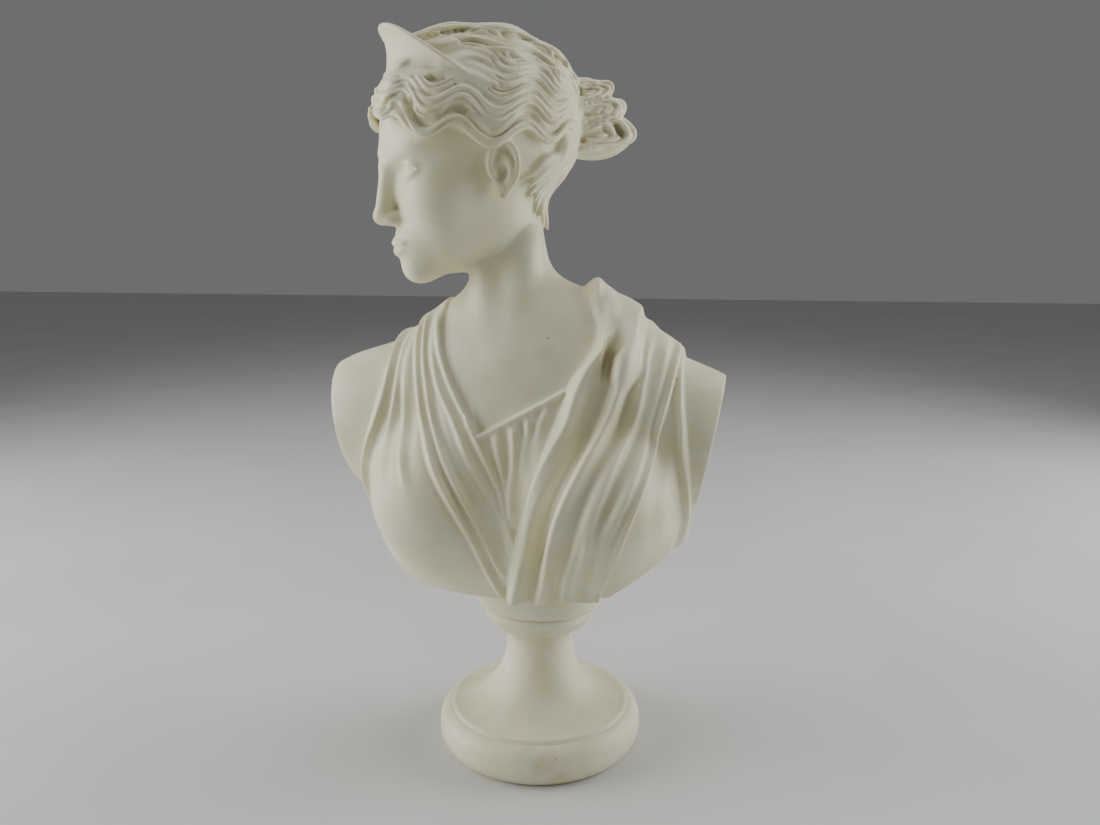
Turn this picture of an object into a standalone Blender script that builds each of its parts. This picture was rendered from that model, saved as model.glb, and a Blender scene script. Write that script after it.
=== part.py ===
"""A classical huntress bust, cast in ivory stone, on its own turned socle.

The front of the chest faces -Y, +Z is up, and the origin is the middle of the socle's underside.
The figure is modelled in its own parts, of which FIGURE_PARTS make up its height, and then
brought to real size. Its head is turned to its right, with waved hair drawn back into a knot,
a crescent diadem, a thin dress, and a mantle over the left shoulder.
"""

import math

import bmesh
import bpy
import numpy as np
from mathutils import Euler, Matrix

# Driving sizes, in metres
SOCLE_HEIGHT = 0.0838
FOOT_RADIUS = 0.0587
FOOT_RIM = 0.0225
GROOVE_INSET = 0.0075
GROOVE_DEPTH = 0.0018
WAIST_RADIUS = 0.0188
WAIST_AT = 0.0630
RING_RADIUS = 0.0322
RING_HEIGHT = 0.0138
PLINTH_OVERHANG = 0.0042
PLINTH_FLATNESS = 0.0040
JOINT_GAP = 0.0003
FIGURE_HEIGHT = 0.3162

# Fineness: voxels of the rough and the final skin in the figure's parts, triangles of the bust,
# steps round the socle, and how strongly the small forms of the face are kept from thinning
ROUGH = 1.6
SCAN = 0.85
BUST_TRIANGLES = 8500
SOCLE_STEPS = 32
FACE_SPARED = 18.0

# The figure's own measure: lengths from here to the section on the socle are in these parts
FIGURE_PARTS = 317.8
PART = FIGURE_HEIGHT / FIGURE_PARTS

# Pose of the head on the body
HEAD = 125.0
HEAD_AT = (-34.0, -4.0, 248.0)
HEAD_TURN = 62.0
HEAD_NOD = 9.0

# Body
MIDDLE = -6.0
HEM = 18.0
RIGHT_CUT = -113.0
LEFT_CUT = 98.5
UNDERCUT = 50.0

IVORY = (0.83, 0.81, 0.70, 1.0)


def ramp(x, low, high):
    """0 below low, 1 above high and smooth between."""
    t = np.clip((x - low) / (high - low), 0, 1)
    return t * t * (3 - 2 * t)


def through(z, line):
    """The smooth x at each z of a guide line given as a few (z, x) points, highest first."""
    zs, xs = np.array(line[::-1], float).T
    slope = np.gradient(xs, zs)
    i = np.clip(np.searchsorted(zs, z) - 1, 0, len(zs) - 2)
    span = zs[i + 1] - zs[i]
    t = np.clip((z - zs[i]) / span, 0, 1)
    ends = (2 * t**3 - 3 * t**2 + 1) * xs[i] + (3 * t**2 - 2 * t**3) * xs[i + 1]
    return ends + span * ((t**3 - 2 * t**2 + t) * slope[i] + (t**3 - t**2) * slope[i + 1])


# Soft masses: the forms that run into each other, as a sculptor adds lumps of clay


def ball(centre, radii, blend=8.0, turn=(0, 0, 0), cut=False):
    axes = np.array(Euler([math.radians(a) for a in turn]).to_matrix())
    return {
        "centre": np.array(centre, float),
        "radii": np.ones(3) * radii,
        "axes": axes,
        "blend": blend,
        "cut": cut,
    }


def limb(start, end, start_radius, end_radius, blend=8.0):
    return {
        "start": np.array(start, float),
        "end": np.array(end, float),
        "radii": (start_radius, end_radius),
        "blend": blend,
        "cut": False,
    }


def pair(x, y, z, radii, blend=8.0, turn=(0, 0, 0), cut=False, middle=0.0, drop=0.0):
    """A ball on each side of the middle, turned the opposite way, the one at +X lower by drop."""
    tip, roll, yaw = turn
    return [
        ball((middle + side * x, y, z - side * drop / 2), radii, blend, (tip, side * roll, side * yaw), cut)
        for side in (-1, 1)
    ]


def egg_distance(local, radii):
    k0 = np.linalg.norm(local / radii, axis=1)
    k1 = np.linalg.norm(local / np.square(radii), axis=1)
    return k0 * (k0 - 1.0) / np.maximum(k1, 1e-9)


def cord(path, radius, blend):
    return {"path": [np.array(spot, float) for spot in path], "radius": radius, "blend": blend, "cut": False}


def distance_to(points, mass):
    if "path" in mass:
        pieces = zip(mass["path"], mass["path"][1:])
        bars = [limb(a, b, mass["radius"], mass["radius"]) for a, b in pieces]
        return np.minimum.reduce([distance_to(points, bar) for bar in bars])
    if "start" not in mass:
        return egg_distance((points - mass["centre"]) @ mass["axes"], mass["radii"])
    along = mass["end"] - mass["start"]
    t = np.clip((points - mass["start"]) @ along / (along @ along), 0, 1)
    nearest = mass["start"] + t[:, None] * along
    r0, r1 = mass["radii"]
    return np.linalg.norm(points - nearest, axis=1) - (r0 + (r1 - r0) * t)


def soft_union(a, b, blend):
    share = np.clip(0.5 + 0.5 * (a - b) / blend, 0, 1)
    return a * (1 - share) + b * share - blend * share * (1 - share)


def blended(points, masses, far=1e3):
    """Distance to the masses as one soft body; a mass marked cut is pressed into it."""
    for mass in masses:
        near = distance_to(points, mass)
        if mass["cut"]:
            far = -soft_union(-far, near, mass["blend"])
        else:
            far = soft_union(far, near, mass["blend"])
    return far


# Blender helpers


def link(name, mesh):
    obj = bpy.data.objects.new(name, mesh)
    bpy.context.scene.collection.objects.link(obj)
    return obj


def applied(obj):
    """The object with its modifiers, or its curve, made into a plain mesh."""
    graph = bpy.context.evaluated_depsgraph_get()
    mesh = bpy.data.meshes.new_from_object(obj.evaluated_get(graph))
    made = link(obj.name, mesh)
    bpy.data.objects.remove(obj)
    return made


def egg(mass, sides=32):
    """The UV sphere that a ball mass describes."""
    bm = bmesh.new()
    bmesh.ops.create_uvsphere(bm, u_segments=sides, v_segments=sides // 2 + 4, radius=1.0)
    mesh = bpy.data.meshes.new("egg")
    bm.to_mesh(mesh)
    bm.free()
    place = np.eye(4)
    place[:3, :3] = mass["axes"] * mass["radii"]
    place[:3, 3] = mass["centre"]
    mesh.transform(Matrix(place))
    return link("egg", mesh)


def tube(path, radius, bevel=3):
    """A round bar along the path, whose radius may change from point to point."""
    curve = bpy.data.curves.new("tube", "CURVE")
    curve.dimensions = "3D"
    curve.bevel_depth = 1.0
    curve.bevel_resolution = bevel
    curve.use_fill_caps = True
    spline = curve.splines.new("POLY")
    spline.points.add(len(path) - 1)
    spline.points.foreach_set("co", np.column_stack([path, np.ones(len(path))]).ravel())
    spline.points.foreach_set("radius", np.ones(len(path)) * radius)
    return applied(link("tube", curve))


def solid_of(mass):
    if "path" in mass:
        return tube(np.array(mass["path"]), mass["radius"], 3)
    if "start" in mass:
        return tube(np.array([mass["start"], mass["end"]]), np.array(mass["radii"]), 10)
    return egg(mass)


def fuse(objects, voxel):
    """One closed skin round all the objects, which are used up."""
    bm = bmesh.new()
    for obj in objects:
        bm.from_mesh(obj.data)
        bpy.data.objects.remove(obj)
    mesh = bpy.data.meshes.new("fused")
    bm.to_mesh(mesh)
    bm.free()
    skin = link("fused", mesh)
    scan = skin.modifiers.new("skin", "REMESH")
    scan.mode = "VOXEL"
    scan.voxel_size = voxel
    return applied(skin)


def soften(obj, rounds):
    smooth = obj.modifiers.new("soften", "SMOOTH")
    smooth.factor = 0.5
    smooth.iterations = rounds
    return applied(obj)


def points_of(obj):
    flat = np.empty(len(obj.data.vertices) * 3, np.float32)
    obj.data.vertices.foreach_get("co", flat)
    return flat.reshape(-1, 3).astype(float)


def place_points(obj, points):
    obj.data.vertices.foreach_set("co", points.astype(np.float32).ravel())
    obj.data.update()


def normals_of(obj):
    flat = np.empty(len(obj.data.vertices) * 3, np.float32)
    obj.data.vertex_normals.foreach_get("vector", flat)
    return flat.reshape(-1, 3).astype(float)


def settle(obj, distance, rounds=3, step=0.25, most=5.0):
    """Moves each vertex onto the surface where distance is nought."""
    points = points_of(obj)
    for _ in range(rounds):
        off = distance(points)
        slope = np.empty_like(points)
        for axis in range(3):
            shift = np.zeros(3)
            shift[axis] = step
            slope[:, axis] = (distance(points + shift) - distance(points - shift)) / (2 * step)
        move = -off[:, None] * slope / np.maximum((slope**2).sum(1), 0.1)[:, None]
        length = np.linalg.norm(move, axis=1)
        points += move * np.minimum(1, most / np.maximum(length, 1e-9))[:, None]
    place_points(obj, points)


def slice_off(obj, at, normal):
    """Cuts the object flat at a plane, and takes away the side that normal points to."""
    bm = bmesh.new()
    bm.from_mesh(obj.data)
    every = bm.verts[:] + bm.edges[:] + bm.faces[:]
    bmesh.ops.bisect_plane(bm, geom=every, plane_co=at, plane_no=normal, clear_outer=True)
    bmesh.ops.holes_fill(bm, edges=[edge for edge in bm.edges if edge.is_boundary])
    bm.to_mesh(obj.data)
    bm.free()


def keep_outer_skin(obj):
    """Leaves only the largest connected shell, so that no sealed hollow stays inside."""
    bm = bmesh.new()
    bm.from_mesh(obj.data)
    shells, seen = [], set()
    for first in bm.verts:
        if first.index in seen:
            continue
        shell, edge_of_shell = [], [first]
        seen.add(first.index)
        while edge_of_shell:
            vert = edge_of_shell.pop()
            shell.append(vert)
            for edge in vert.link_edges:
                other = edge.other_vert(vert)
                if other.index not in seen:
                    seen.add(other.index)
                    edge_of_shell.append(other)
        shells.append(shell)
    largest = max(shells, key=len)
    loose = [vert for shell in shells if shell is not largest for vert in shell]
    bmesh.ops.delete(bm, geom=loose, context="VERTS")
    bm.to_mesh(obj.data)
    bm.free()


# Head, in its own frame: middle of the skull at nought, face to -Y, in shares of HEAD

EYE = (0.130, -0.266, -0.012)
EYE_RADIUS = 0.062
LID_RADIUS = 0.0715
EYE_HALF_WIDTH = 0.068
EAR_AT = (0.286, 0.038, -0.060)
EAR_LEAN = 10.0
EAR_FLARE = 16.0
SCALP_AT = np.array((0.0, 0.020, 0.135))
SCALP_RADII = np.array((0.318, 0.440, 0.334))
KNOT = np.array((0.0, 0.440, 0.130))


def head_masses():
    """Skull, jaw, cheeks, brow, nose and chin on the classical canon: eyes at mid height, the
    brow, nose and chin a third of the face each, one eye's width between the eyes."""
    return [
        ball((0, 0.055, 0.115), (0.302, 0.395, 0.330)),
        ball((0, -0.130, 0.125), (0.258, 0.250, 0.245), 0.06),
        ball((0, -0.125, -0.100), (0.254, 0.240, 0.26), 0.06),
        ball((0, -0.140, -0.275), (0.205, 0.214, 0.178), 0.08),
        *pair(0.145, -0.010, -0.210, (0.075, 0.125, 0.120), 0.08),
        *pair(0.130, -0.205, -0.150, (0.105, 0.105, 0.125), 0.10),
        ball((0, -0.308, -0.402), (0.084, 0.080, 0.070), 0.07),
        limb((0, 0.065, -0.20), (0, 0.098, -0.62), 0.178, 0.162, 0.07),
        *pair(0.136, -0.418, -0.004, (0.078, 0.085, 0.050), 0.07, (0, 0, 12), cut=True),
        *pair(0.105, -0.292, 0.066, (0.110, 0.060, 0.024), 0.06, (0, -4, 24)),
        ball((0, -0.292, -0.295), (0.115, 0.102, 0.095), 0.06),
        limb((0, -0.350, 0.095), (0, -0.424, -0.160), 0.030, 0.036, 0.045),
        ball((0, -0.424, -0.172), (0.035, 0.042, 0.032), 0.030),
        *pair(0.038, -0.388, -0.188, (0.026, 0.042, 0.026), 0.024),
        *pair(*EYE, EYE_RADIUS, 0.006),
    ]


def with_lids(points, far):
    """Adds the eyelids: a shell round each eyeball, open in an almond."""
    for side in (-1, 1):
        local = points - np.array((side * EYE[0], EYE[1], EYE[2]))
        across = local[:, 0] * side
        up = local[:, 2] - 0.06 * across
        width = np.clip(1 - (across / EYE_HALF_WIDTH) ** 2, -1, 1)
        opening = np.minimum(0.030 * width - up, up + 0.020 * width)
        lid = np.maximum(np.linalg.norm(local, axis=1) - LID_RADIUS, opening)
        far = soft_union(far, np.maximum(lid, local[:, 1]), 0.010)
    return far


def with_lips(points, far):
    """Adds closed lips that bend round the teeth."""
    across = np.abs(points[:, 0])
    forward = points[:, 1] - 1.7 * across**2
    lips = None
    for y, z, radii, droop in (
        (-0.386, -0.284, (0.088, 0.026, 0.020), 0.14),
        (-0.384, -0.322, (0.070, 0.027, 0.022), -0.22),
    ):
        height = points[:, 2] - z + droop * across**1.3
        lip = egg_distance(np.stack([points[:, 0], forward - y, height], 1), np.array(radii))
        lips = lip if lips is None else soft_union(lips, lip, 0.004)
    return soft_union(far, lips, 0.016)


def ear_masses(side):
    """An ear: a thin plate with a rolled rim, an inner fold, two hollows and a lobe."""
    flare, lean = math.radians(EAR_FLARE), math.radians(EAR_LEAN)
    back = np.array((side * math.sin(flare), math.cos(flare), 0))
    out = np.array((side * math.cos(flare), -math.sin(flare), 0))
    up = np.array((0, math.sin(lean), math.cos(lean)))
    up -= (up @ out) * out
    up /= np.linalg.norm(up)
    back = np.cross(up, out) * side
    origin = np.array((side * EAR_AT[0], EAR_AT[1], EAR_AT[2]))

    def at(u, v, w):
        return origin + u * back + v * up + w * out

    def plate(u, v, w, radii, blend, cut=False):
        made = ball(at(u, v, w), radii, blend, cut=cut)
        made["axes"] = np.stack([back, up, out], 1)
        return made

    def fold(path, radius, blend):
        return cord([at(*spot) for spot in path], radius, blend)

    rim = [
        (0.058 * math.cos(a) + 0.004, 0.094 * math.sin(a) + 0.014, 0.016)
        for a in np.radians(np.linspace(200, -62, 20))
    ]
    inner = [(0.024, -0.056, 0.010), (0.034, -0.010, 0.014), (0.026, 0.036, 0.014), (0.004, 0.056, 0.008)]
    return [
        plate(0.004, 0.004, -0.002, (0.056, 0.100, 0.018), 0.012),
        plate(0.000, -0.088, 0.004, (0.028, 0.032, 0.016), 0.020),
        plate(0.000, -0.016, 0.028, (0.029, 0.042, 0.034), 0.010, cut=True),
        plate(0.004, 0.062, 0.028, (0.034, 0.022, 0.026), 0.010, cut=True),
        fold(inner, 0.010, 0.010),
        fold(rim, 0.0115, 0.008),
        plate(-0.038, -0.020, 0.008, (0.014, 0.022, 0.014), 0.012),
    ]


def make_face(voxel):
    masses = head_masses()
    ears = ear_masses(-1) + ear_masses(1)

    def distance(points):
        spots = points / HEAD
        far = with_lips(spots, with_lids(spots, blended(spots, masses)))
        near = (np.abs(spots[:, 0]) > 0.22) & (np.abs(spots[:, 1] - EAR_AT[1]) < 0.16)
        near &= np.abs(spots[:, 2] - EAR_AT[2]) < 0.2
        if near.any():
            far[near] = blended(spots[near], ears, far[near])
        return HEAD * far

    lumps = [solid_of(mass) for mass in masses + ears if not mass["cut"]]
    for lump in lumps:
        lump.data.transform(Matrix.Scale(HEAD, 4))
    face = fuse(lumps, max(voxel, ROUGH))
    settle(face, distance, 4)
    face = fuse([face], voxel)
    settle(face, distance, 2)
    return face


# Hair: locks run like the meridians of the scalp, from the parting over the brow to the knot

LOWEST_LOCK = 114.0
LOCK_STEP = 8.0
WAVES = 4.6
FRONT_LAYER = 62.0
CROWN_LAYER = 30.0
NAPE_LOCKS = 11
FRONT_ROLL = 0.018


def scalp_point(share, angle, lift, parting):
    """A point over the scalp, at a share of the way from parting to knot and an angle round
    that axis from the crown, lifted off the scalp by a share of HEAD."""
    axis = KNOT - parting
    ahead = axis / np.linalg.norm(axis)
    up = np.array((0.0, 0.0, 1.0)) - ahead[2] * ahead
    up /= np.linalg.norm(up)
    side = np.cross(up, ahead)
    base = parting + (0.5 - 0.5 * np.cos(np.pi * share))[:, None] * axis
    out = np.cos(angle)[:, None] * up + np.sin(angle)[:, None] * side
    radii = SCALP_RADII + lift[:, None]
    rel = (base - SCALP_AT) / radii
    a = ((out / radii) ** 2).sum(1)
    b = (rel * out / radii).sum(1)
    c = (rel**2).sum(1) - 1
    reach = (np.sqrt(np.maximum(b * b - a * c, 0)) - b) / a
    return base + np.maximum(reach, 0)[:, None] * out


def parting_at(height):
    """The point of the midline where the scalp has this height."""
    drop = (height - SCALP_AT[2]) / SCALP_RADII[2]
    return np.array((0, SCALP_AT[1] - 1.03 * SCALP_RADII[1] * math.sqrt(1 - drop**2), height))


def strand(angle, start, end, thick, swing, phase, lift, parting):
    """One waved strand that tapers at both ends."""
    share = np.linspace(start, end, 72)
    along = (share - start) / (end - start)
    wave = 2 * np.pi * (WAVES * share + phase)
    spread = np.sin(np.pi * np.clip(share, 0.02, 0.98)) ** 0.6
    taper = np.clip(along / 0.08, 0, 1) ** 0.6 * np.clip((1 - along) / 0.08, 0, 1) ** 0.5
    calm = 0.45 + 0.55 * np.sin(np.pi * np.clip(share, 0, 1)) ** 0.7
    drift = swing * calm * np.sin(wave) / 0.38
    roll = FRONT_ROLL * np.exp(-((share - 0.16) / 0.12) ** 2) * math.cos(math.radians(angle) / 2) ** 2
    height = lift + roll + 0.006 * np.cos(wave + 0.9)
    path = scalp_point(share, np.radians(angle) + drift, height, parting)
    return tube(path * HEAD, thick * (0.5 + 0.5 * spread) * (0.3 + 0.7 * taper) * HEAD, 3)


def hair_locks():
    strands = []
    count = int((LOWEST_LOCK - 5) / LOCK_STEP)
    for side in (-1, 1):
        for k in range(count + 1):
            angle = 5 + LOCK_STEP * k + 1.2 * math.sin(2.3 * k)
            layer = 2 if angle < CROWN_LAYER else 1 if angle < FRONT_LAYER else 0
            lift = (0.006, 0.026, 0.046)[layer] + 0.008 * math.sin(2.6 * k + side)
            start = (0.02, 0.10, 0.12)[layer]
            swing = (0.036, 0.030, 0.022)[layer]
            phase = 0.035 * k + (0, 0.18, 0.30)[layer] + 0.25 * (side > 0)
            thick = 0.0270 + 0.004 * math.sin(1.7 * k + 2 * side)
            low = np.clip((angle - FRONT_LAYER) / (LOWEST_LOCK - FRONT_LAYER), 0, 1)
            parting = parting_at(0.375 - 0.115 * low)
            strands.append(strand(side * angle, start, 0.97, thick, swing, phase, lift, parting))
            between = side * (angle + LOCK_STEP / 2)
            strands.append(
                strand(between, start + 0.04, 0.95, 0.014, swing, phase + 0.02, lift + 0.012, parting)
            )
    return strands


def laid_on(path, lift):
    """The path moved out along the skull and neck until it lies at a height over them."""
    bones = [mass for mass in head_masses() if not mass["cut"]][:8]
    path = path.copy()
    step = 0.004
    for _ in range(6):
        off = blended(path, bones) - lift
        slope = np.empty_like(path)
        for axis in range(3):
            shift = np.zeros(3)
            shift[axis] = step
            slope[:, axis] = (blended(path + shift, bones) - blended(path - shift, bones)) / (2 * step)
        path -= off[:, None] * slope / np.maximum((slope**2).sum(1), 0.1)[:, None]
    return path


def nape_locks():
    """Small waved tufts that rise from the nape and from behind the ears to the knot."""
    strands = []
    s = np.linspace(0, 1, 40)[:, None]
    for side in (-1, 1):
        for k in range(NAPE_LOCKS):
            t = (k + 0.5) / NAPE_LOCKS
            out = side * 0.255 * math.cos(1.5 * t) ** 0.8
            foot = np.array((out, 0.115 + 0.20 * t, -0.08 - 0.22 * t**0.8))
            root = np.array((side * (0.105 - 0.095 * t), 0.415, 0.16 - 0.16 * t))
            bend = 0.5 * (foot + root) + np.array((side * 0.06, 0.06, -0.03 + 0.02 * (k % 2)))
            line = (1 - s) ** 2 * foot + 2 * s * (1 - s) * bend + s**2 * root
            ahead = root - foot
            across = np.cross(ahead / np.linalg.norm(ahead), np.array((side * 0.5, 0.85, 0)))
            wave = np.sin(2 * np.pi * (2.7 * s + 0.07 * k + 0.06 * math.sin(3 * k)))
            line = line + across * wave * 0.013 * np.sin(np.pi * np.clip(s, 0.05, 0.95))
            taper = np.clip(s[:, 0] / 0.25, 0.05, 1) ** 0.7
            thick = (0.0185 + 0.003 * (k % 3)) * taper
            strands.append(tube(laid_on(line, 0.008 + 0.006 * (k % 2)) * HEAD, thick * HEAD, 3))
    return strands


def scalp_cap():
    """The body of the hair under the locks, down to the hairline, and its raised crown."""
    cap = egg(ball(SCALP_AT * HEAD, SCALP_RADII * HEAD), 48)
    slice_off(cap, (0, -0.36 * HEAD, 0.245 * HEAD), (0, -0.47, -0.88))
    back = egg(ball(SCALP_AT * HEAD, SCALP_RADII * HEAD), 48)
    slice_off(back, (0, 0.12 * HEAD, 0), (0, -1, 0))
    slice_off(back, (0, 0.12 * HEAD, -0.06 * HEAD), (0, -0.78, -0.63))
    crown = egg(ball(np.array((0, 0.065, 0.235)) * HEAD, np.array((0.250, 0.335, 0.262)) * HEAD), 48)
    return [cap, back, crown]


def bundle(root, reach, high, wide, strands, rise, thick):
    """A bundle of strands that leaves the root, folds over at the back and returns."""
    root = np.array(root)
    made = []
    for layer, size in enumerate((1.0, 0.55)):
        for k in range(strands):
            x = (2 * (k + 0.5) / strands - 1) * 0.90
            round_off = math.sqrt(1 - x * x)
            turn = np.radians(np.linspace(118, -118, 36))
            back = reach * size * (0.35 + 0.65 * round_off) * np.cos(turn)
            up = high * size * (0.45 + 0.55 * round_off) * np.sin(turn)
            sway = 0.012 * np.sin(2 * turn + k)
            path = np.stack([wide * x + sway, back, up + rise * back + 0.010 * np.sin(3 * turn + k)], 1)
            width = thick * (1 + 0.16 * (-1) ** k) * (0.75 + 0.25 * round_off)
            made.append(tube((root + path) * HEAD, width * HEAD * np.ones(len(path)), 3))
    core = ball(root * HEAD, np.array((wide * 0.8, reach * 0.62, high * 0.62)) * HEAD)
    return made + [egg(core)]


def knot():
    """Three bundles of hair doubled over behind the head, bound at the root by two strands."""
    made = bundle((0.0, 0.52, 0.212), 0.125, 0.044, 0.085, 4, 0.05, 0.022)
    made += bundle((0.0, 0.52, 0.132), 0.175, 0.050, 0.105, 5, 0.0, 0.025)
    made += bundle((0.0, 0.52, 0.042), 0.205, 0.072, 0.120, 6, -0.08, 0.027)
    made.append(egg(ball(np.array((0, 0.46, 0.115)) * HEAD, np.array((0.09, 0.085, 0.135)) * HEAD)))
    for back, wide, high, thick in ((0.430, 0.112, 0.150, 0.022), (0.462, 0.100, 0.136, 0.018)):
        turn = np.radians(np.linspace(0, 360, 49))
        ring = np.stack([wide * np.cos(turn), 0 * turn + back, 0.120 + high * np.sin(turn)], 1)
        made.append(tube(ring * HEAD, thick * HEAD, 3))
    return made


# Diadem

DIADEM_HALF_ANGLE = math.radians(88)
DIADEM_TALL = 0.228
DIADEM_WALL = 0.018
DIADEM_FOOT = 0.060
DIADEM_AT = 0.350


def diadem():
    """A crescent: an upright band round the front of the hair, its top edge in a plane that
    falls from the middle to both ends. Solidify gives the band its wall."""
    steps, rows = 96, 16
    verts = []
    brim = []
    for i in range(steps + 1):
        angle = DIADEM_HALF_ANGLE * (2 * i / steps - 1)
        fall = (math.cos(angle) - math.cos(DIADEM_HALF_ANGLE)) / (1 - math.cos(DIADEM_HALF_ANGLE))
        tall = DIADEM_TALL * fall * (1 - 0.06 * fall**8)
        for j in range(rows + 1):
            v = j / rows
            rise = -DIADEM_FOOT + (tall + DIADEM_FOOT) * v
            flare = fall * (0.030 * v**6 - 0.014 * math.sin(math.pi * v)) - 0.26 * rise * fall
            across = (0.305 + flare) * math.sin(angle)
            back = 0.075 - (0.395 + flare) * math.cos(angle)
            verts.append((across, back, DIADEM_AT + rise - 0.15 * (1 - math.cos(angle))))
        brim.append(verts[-1])
    quads = [
        (a, a + rows + 1, a + rows + 2, a + 1)
        for i in range(steps)
        for a in range(i * (rows + 1), i * (rows + 1) + rows)
    ]
    mesh = bpy.data.meshes.new("diadem")
    mesh.from_pydata(verts, [], quads)
    mesh.transform(Matrix.Scale(HEAD, 4))
    band = link("diadem", mesh)
    wall = band.modifiers.new("wall", "SOLIDIFY")
    wall.thickness = DIADEM_WALL * HEAD
    wall.offset = 0
    return [applied(band), tube(np.array(brim) * HEAD, 0.62 * DIADEM_WALL * HEAD, 3)]


def head_pose():
    turn = Matrix.Rotation(-math.radians(HEAD_TURN), 4, "Z")
    return Matrix.Translation(HEAD_AT) @ turn @ Matrix.Rotation(math.radians(HEAD_NOD), 4, "X")


def make_head(voxel):
    pieces = [make_face(voxel), *scalp_cap(), *hair_locks(), *nape_locks(), *knot(), *diadem()]
    head = fuse(pieces, voxel)
    slice_off(head, (0, 0, -0.50 * HEAD), (0, 0, -1))
    head.data.transform(head_pose())
    return head


# Body and dress, in the figure's parts, with height counted from the joint on the socle


def body_masses():
    return [
        ball((MIDDLE, 0, 84), (86, 50, 104)),
        ball((MIDDLE, 0, 50), (87, 50, 50), 14),
        ball((MIDDLE, 6, 118), (84, 36, 32), 26),
        *pair(80, 6, 102, (36, 32, 38), 22, (0, 14, 0), middle=MIDDLE, drop=5),
        *pair(100, 4, 103, (36, 27, 31), 20, (0, 20, 0), middle=MIDDLE, drop=5),
        *pair(38, 12, 137, (48, 24, 19), 15, (0, 15, 0), middle=MIDDLE, drop=2),
        *pair(42, -36, 71, (35, 30, 34), 18, middle=MIDDLE),
        limb((MIDDLE, 6, 134), (-20.5, 2.5, 212), 25, 20.5, 12),
        limb((-5, -7, 206), (MIDDLE - 3, -30, 140), 5.5, 4.5, 10),
        limb((-32, -8, 202), (MIDDLE - 9, -28, 140), 5.0, 4.5, 10),
        *pair(30, -22, 138, (30, 5, 5), 12, (0, 12, 14), middle=MIDDLE),
        limb((14, 26, 156), (34, -2, 162), 8.0, 8.5, 8),
        limb((34, -2, 162), (47, -28, 140), 8.5, 5.0, 8),
    ]


# Cloth on the chest and back. A guide line lists (height, x) from the shoulder down.

DRESS_EDGE = ((172, -77), (151, -79), (129, -82), (114, -86), (92, -93), (75, -98), (50, -99), (10, -84))
NECK_EDGE = ((172, -48), (161, -47), (143, -42), (129, -34), (109, -22), (79, -9), (50, 2), (10, 8))
MANTLE_EDGE = ((182, 24), (170, 31), (161, 35), (153, 34), (134, 23), (105, 13), (75, 4), (50, -4), (10, -12))
MANTLE_SIDE = ((182, 66), (157, 76), (126, 74), (100, 66), (65, 55), (25, 40), (10, 36))
SLEEVE_EDGE = ((165, 78), (126, 80), (103, 83), (81, 85), (50, 84), (10, 76))
BACK_NECK_EDGE = ((172, -48), (150, -40), (125, -16), (100, -4), (10, 0))
BACK_MANTLE_EDGE = ((182, 24), (158, 27), (130, 20), (96, 12), (60, 6), (10, 2))
BACK_MANTLE_SIDE = ((182, 66), (156, 76), (121, 82), (90, 80), (50, 68), (10, 50))
NECK_POINT = (-22.0, 109.0)
NECK_SLOPE = 0.54

# Folds, laid by hand: height over the cloth, half width, and the guide line of the crest
DRESS_FOLDS = (
    (2.3, 2.2, ((172, -74), (129, -79), (114, -83), (92, -90), (75, -95), (50, -96), (16, -83))),
    (1.5, 2.2, ((160, -69), (119, -73), (100, -74), (82, -72))),
    (1.5, 2.4, ((160, -64), (119, -66), (97, -62), (84, -57))),
    (2.2, 2.1, ((168, -61), (135, -59), (117, -55), (100, -47), (80, -37), (58, -26), (16, -10))),
    (2.5, 1.9, ((168, -57), (135, -54), (117, -49), (100, -41), (80, -31), (58, -20), (34, -10))),
    (1.6, 2.2, ((168, -53), (131, -46), (114, -36), (93, -25), (69, -12), (46, -3))),
    (1.8, 1.9, ((168, -50), (143, -45), (129, -37), (119, -30), (109, -25), (79, -12), (50, -1), (30, 4))),
)
PANEL_FOLDS = (
    (1.5, 2.3, ((111, -14), (88, -9), (62, -5))),
    (1.9, 2.6, ((117, -5), (96, -4), (66, -3))),
    (1.4, 2.2, ((121, 4), (106, 3), (88, 2))),
    (1.3, 2.2, ((127, 13), (116, 10), (103, 8))),
)
MANTLE_FOLDS = (
    (4.2, 4.6, ((160, 38), (150, 38), (134, 29), (105, 19), (75, 10), (50, 2), (14, -6))),
    (-4.5, 3.2, ((178, 32), (166, 37), (150, 41), (138, 40))),
    (-3.4, 3.6, ((112, 33), (100, 29), (84, 22), (59, 12), (46, 8))),
    (5.4, 4.4, ((186, 38), (172, 46), (158, 48), (136, 47), (117, 41), (94, 33), (63, 21), (14, 6))),
    (3.6, 4.6, ((178, 56), (139, 59), (111, 52), (90, 44), (64, 33), (40, 25), (18, 19))),
    (-1.6, 3.0, ((150, 62), (120, 58), (92, 51), (70, 42))),
    (2.6, 5.4, ((178, 64), (123, 65), (100, 58), (66, 46), (14, 29))),
    (1.6, 2.4, ((70, 38), (44, 32), (18, 24))),
    (2.4, 2.8, ((178, 72), (126, 72), (100, 64), (65, 53), (18, 37))),
)
SLEEVE_FOLDS = (
    (1.8, 2.2, ((150, 79), (126, 77), (103, 80), (81, 82), (50, 81), (30, 76))),
    (0.9, 4.0, ((110, 74), (80, 72), (50, 70))),
)
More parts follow.
